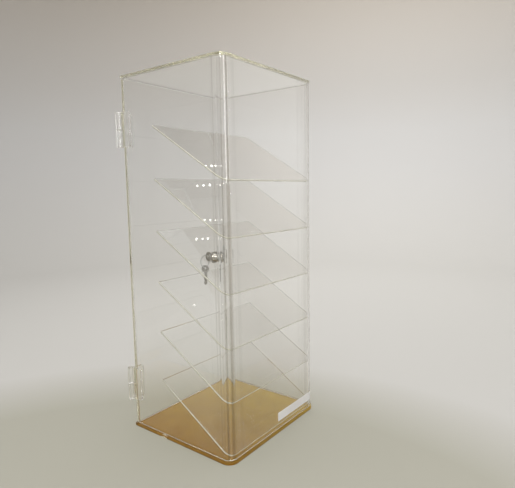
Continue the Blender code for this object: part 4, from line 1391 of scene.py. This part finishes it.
@dataclass
class KeySet:
    """The key in the lock and the spare key, on a split ring."""

    bow_length: float = 0.017
    head_turn: float = math.radians(115)
    shoulder_width: float = 0.0092
    panel_inset: float = 0.0016
    hole_inset: float = 0.006
    hole_radius: float = 0.00298
    blade_width: float = 0.00698
    cut_code: tuple[int, ...] = (3, 5, 2, 4)
    cut_steps: int = 18
    cut_width: float = 0.0018
    first_cut: float = 0.005
    cut_pitch: float = 0.004
    groove: Point = (0.0016, 0.0005)
    groove_offset: float = 0.0008725
    groove_corner: float = 0.0004
    panel_depth: float = 0.0003
    edge_round: float = 0.00025
    steps: int = 12
    ring_steps: int = 160
    ring_ends: float = math.radians(14)
    wire_shares: Point = (0.46, 0.92)
    wire_squareness: float = 0.6
    end_size: float = 0.55
    end_taper: float = 48.0

    def outline(self, bow_width: float, blade: float) -> list[Point]:
        """List a key's outline from its tip to its bow at +X.

        Args:
            bow_width: Width across the bow.
            blade: Length of the blade.

        Returns:
            The points, anticlockwise.
        """
        half = self.blade_width / 2
        point = half / 2
        middle, shoulder = self.bow_length / 2, self.shoulder_width / 2
        bow = arc((middle, 0.0), (middle, bow_width / 2), -self.head_turn, self.head_turn, 6 * self.steps)
        outline = [(-blade, point), (-blade, -point), (-blade + point, -half), (0.0, -half), (0.0, -shoulder),
                   *bow, (0.0, shoulder), (0.0, half)]
        for number, code in enumerate(self.cut_code):
            depth = code * self.blade_width / self.cut_steps
            middle = -self.first_cut - number * self.cut_pitch
            near, far, floor = middle + self.cut_width / 2, middle - self.cut_width / 2, half - depth
            outline += [(near + depth / 2, half), (near, floor), (far, floor), (far - depth / 2, half)]
        return [*outline, (-blade + point, half)]

    def key(self, name: str, sizes: Triple, matrix: Matrix) -> bpy.types.Object:
        """Build one key with milled blade and a sunk panel on its bow.

        Args:
            name: The piece's name.
            sizes: Bow width, blade length and thickness.
            matrix: The key's place, its shoulder at the origin and its bow at local +X.

        Returns:
            The key.
        """
        bow_width, blade, thickness = sizes
        eye = (self.bow_length - self.hole_inset, 0.0)
        hole = full_turn(eye, (self.hole_radius, self.hole_radius), 4 * self.steps)
        flat = Solid.plate([self.outline(bow_width, blade), hole], -thickness / 2, thickness / 2)
        piece = flat.round_edges(self.edge_round).piece(name)
        width, depth = self.groove
        middle, inset = self.bow_length / 2, self.panel_inset
        panel = full_turn((middle, 0.0), (middle - inset, bow_width / 2 - inset), 6 * self.steps)
        land = full_turn(eye, (self.hole_radius + inset / 2,) * 2, 4 * self.steps)
        for side in (-1, 1):
            offset = side * self.groove_offset
            mill = rounded_rectangle((-2 * blade, offset - width / 2), (width, offset + width / 2),
                                     (self.groove_corner,) * 4, self.steps // 2)
            for outlines, sunk in (([mill], depth), ([panel, land], self.panel_depth)):
                low, high = sorted((side * (thickness / 2 - sunk), side * thickness))
                shape_with(piece, Solid.plate(outlines, low, high).piece("cutter"))
        piece.matrix_world = matrix
        return piece

    def build_ring(self) -> None:
        """Wind the split ring: two turns side by side that cross over between its two ends."""
        low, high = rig.box("key_ring")
        centre, wire = (low + high) / 2, (high.y - low.y) / 2
        radius = (high.z - low.z) / 2 - wire
        lane = wire / 2
        half_wide, half_tall = (wire * share for share in self.wire_shares)
        first, last = self.ring_ends, 2 * math.tau - self.ring_ends
        section = [[math.copysign(abs(part) ** self.wire_squareness, part) for part in point]
                   for point in full_turn((0.0, 0.0), (1.0, 1.0), self.steps)]
        rings = []
        for step in range(self.ring_steps + 1):
            angle = first + (last - first) * step / self.ring_steps
            over = max(-1.0, min(1.0, (angle - math.tau) / self.ring_ends))
            offset = -lane * math.sin(over * math.pi / 2)
            from_end = min(step, self.ring_steps - step) / self.ring_steps
            size = min(1.0, self.end_taper * from_end + self.end_size)
            spots = [(offset + across * half_wide * size, radius + up * half_tall * size)
                     for across, up in section]
            rings.append([(out * math.cos(angle), out * math.sin(angle), along) for along, out in spots])
        ring = Solid.rings(rings).piece("split_key_ring", Matrix.Translation(centre) @ FACING_BACK)
        hand_over(ring, Body.RING, STEEL, "key_ring")

    def build(self) -> None:
        """Build and dress both keys and the ring."""
        low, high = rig.box("door_key")
        middle = (low + high) / 2
        shoulder = high.y - self.bow_length
        sizes = (high.z - low.z, shoulder - low.y, high.x - low.x)
        in_lock = Matrix.Translation((middle.x, shoulder, middle.z)) @ ON_EDGE
        hand_over(self.key("key_in_lock", sizes, in_lock), Body.KEY, KEY_NICKEL, "door_key")
        low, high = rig.box("spare_key")
        middle = (low + high) / 2
        hanging = Matrix.Translation((middle.x, middle.y, high.z - self.bow_length)) @ ON_EDGE_UP
        hand_over(self.key("spare_key_on_ring", sizes, hanging), Body.SPARE, KEY_NICKEL, "spare_key")
        self.build_ring()


class LampOutline(Enum):
    """Outlines of soft lamps."""

    OBLONG = "RECTANGLE"
    ROUND = "ELLIPSE"


class LampShows(Enum):
    """Where a lamp is seen: everywhere, only as a gleam on outer faces, or never as a gleam."""

    EVERYWHERE = "everywhere"
    GLEAM_ONLY = "gleam only"
    NO_GLEAM = "no gleam"


@dataclass(frozen=True)
class Lamp:
    """A soft lamp of the studio."""

    name: str
    place: Triple
    size: Point
    power: float
    aim: Triple = (0.0, 0.0, 0.3)
    outline: LampOutline = LampOutline.OBLONG
    shows: LampShows = LampShows.EVERYWHERE
    spread: float = math.pi


@dataclass
class Studio:
    """A plain pale bowl of floor and wall, soft lamps and the camera at the photograph's place."""

    floor_radius: float = 1.9
    sweep: float = 1.3
    wall_height: float = 3.4
    sweep_steps: int = 24
    bowl_steps: int = 96
    sky: Colour = (0.56, 0.56, 0.56)
    lamps: tuple[Lamp, ...] = (
        Lamp("overhead_softbox", (-0.1, -0.2, 2.7), (2.6, 2.6), 57.0),
        Lamp("camera_side_fill", (-1.25, -1.15, 1.25), (0.4, 0.4), 10.0),
        Lamp("far_wall_softbox", (1.2, 0.1, 2.7), (1.0, 1.0), 19.0, (2.8, 1.0, 0.4),
             shows=LampShows.NO_GLEAM, spread=math.radians(120)),
        Lamp("near_wall_wash", (-0.9, -1.0, 2.9), (1.0, 1.0), 20.0, (-2.2, -2.4, 0.6),
             shows=LampShows.NO_GLEAM, spread=math.radians(100)),
        *(Lamp(f"{side}_strip", (x, y, 0.79), (width, 0.64), power, (0.0, 0.0, 0.6),
               shows=LampShows.GLEAM_ONLY)
          for side, x, y, width, power in (
              ("left", -1.71, 0.36, 0.30, 1.4), ("corner", -1.275, -1.42, 0.22, 0.9),
              ("front", -0.36, -1.71, 0.46, 10.0), ("right", 0.85, -1.57, 0.30, 2.8))),
        Lamp("front_wall_panel", (0.407, -0.408, 0.4), (0.45, 0.85), 0.1, (-0.404, 0.170, 0.313),
             shows=LampShows.GLEAM_ONLY, spread=math.radians(48)),
        Lamp("lens_lamp", (-0.665, -0.60, 0.455), (0.016, 0.016), 0.07, (-0.1, -0.1, 0.45),
             LampOutline.ROUND, LampShows.GLEAM_ONLY),
        *(Lamp(f"bend_spot_{number}", place, (0.05, 0.013), 0.6, (-0.11, -0.1, 0.5),
               shows=LampShows.GLEAM_ONLY)
          for number, place in enumerate(((1.112, -1.316, 0.935), (1.145, -1.225, 0.84),
                                          (1.041, -1.432, 0.422)), 1)),
        *(Lamp(f"ceiling_spot_{number}", (x, y, 1.9), (0.012, 0.012), 0.2, outline=LampOutline.ROUND)
          for number, (x, y) in enumerate(((1.62, 0.815), (1.68, 0.817), (1.745, 0.82), (1.555, 0.559),
                                           (1.61, 0.555), (1.66, 0.552), (1.44, 0.23)), 1)),
    )
    camera_place: Triple = (-0.637, -0.572, 0.4335)
    camera_azimuth: float = math.radians(53.48)
    camera_pitch: float = math.radians(-6.64)
    camera_roll: float = math.radians(-0.81)
    sensor_width: float = 36.0
    lens: float = 32.24
    shift: float = -0.0194
    bounces: int = 96

    def build_bowl(self) -> None:
        """Turn the floor and wall in one sweep."""
        radii = (self.sweep, self.sweep)
        sweep = quarter((self.floor_radius, self.sweep), radii, -1, self.sweep_steps)
        profile = [(0.0, 0.0), *sweep, (self.floor_radius + self.sweep, self.wall_height)]
        bowl = Solid.turned(profile, self.bowl_steps, capped=False).piece("studio_bowl")
        bowl.data.materials.append(STUDIO_PAINT.material())
        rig.stage(bowl)

    def hang(self, lamp: Lamp) -> None:
        """Hang a soft lamp and aim it."""
        light = bpy.data.lights.new(lamp.name, "AREA")
        light.shape = lamp.outline.value
        light.size, light.size_y = lamp.size
        light.energy = lamp.power
        light.spread = lamp.spread
        holder = bpy.data.objects.new(lamp.name, light)
        holder.location = lamp.place
        holder.rotation_euler = (Vector(lamp.aim) - Vector(lamp.place)).to_track_quat("-Z", "Y").to_euler()
        holder.visible_camera = False
        holder.visible_glossy = lamp.shows is not LampShows.NO_GLEAM
        holder.visible_transmission = holder.visible_diffuse = lamp.shows is not LampShows.GLEAM_ONLY
        bpy.context.scene.collection.objects.link(holder)

    def build_light(self) -> None:
        """Hang the lamps and set the even light of the room."""
        for lamp in self.lamps:
            self.hang(lamp)
        world = bpy.data.worlds.new("even_room_light")
        world.use_nodes = True
        kit = NodeKit(world.node_tree)
        kit.tree.nodes.clear()
        sky = kit.add("Background", {"Color": (*self.sky, 1.0), "Strength": 1.0})
        kit.feed(kit.add("OutputWorld").inputs["Surface"], sky.outputs[0])
        bpy.context.scene.world = world

    def build_camera(self) -> None:
        """Set the camera to the photograph's viewpoint."""
        camera = bpy.data.cameras.new("camera")
        camera.sensor_width = self.sensor_width
        camera.lens = self.lens
        camera.shift_x = self.shift
        holder = bpy.data.objects.new("camera", camera)
        look = (Matrix.Rotation(-self.camera_azimuth, 4, "Z")
                @ Matrix.Rotation(math.pi / 2 + self.camera_pitch, 4, "X")
                @ Matrix.Rotation(self.camera_roll, 4, "Z"))
        holder.matrix_world = Matrix.Translation(self.camera_place) @ look
        bpy.context.scene.collection.objects.link(holder)
        bpy.context.scene.camera = holder

    def build(self) -> None:
        """Set up the studio and the number of light bounces that many clear layers need."""
        self.build_bowl()
        self.build_light()
        self.build_camera()
        scene = bpy.context.scene
        scene.view_settings.view_transform = "Standard"
        for kind in ("max_bounces", "transmission_bounces", "transparent_max_bounces", "glossy_bounces"):
            setattr(scene.cycles, kind, self.bounces)
        scene.cycles.caustics_reflective = False
        scene.cycles.caustics_refractive = False


def main() -> None:
    """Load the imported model, build every sub-assembly over it and write both boxes."""
    logging.basicConfig(level=logging.INFO, format="%(name)s: %(message)s")
    packed = Packed()
    cad_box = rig.bounds()
    Studio().build()
    shell = CaseShell()
    shell.build()
    MaskingPaper(shell).build()
    ShelfStack(packed, shell).build()
    FrontLabel(shell).build()
    BackDoor(packed).build()
    HingePair(packed).build()
    CamLock(packed).build()
    KeySet().build()
    boxes = {"cad": [list(corner) for corner in cad_box], "visual": [list(corner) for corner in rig.bounds()]}
    with open("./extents.json", "w", encoding="utf-8") as sizes:
        json.dump(boxes, sizes)


if __name__ == "__main__":
    main()
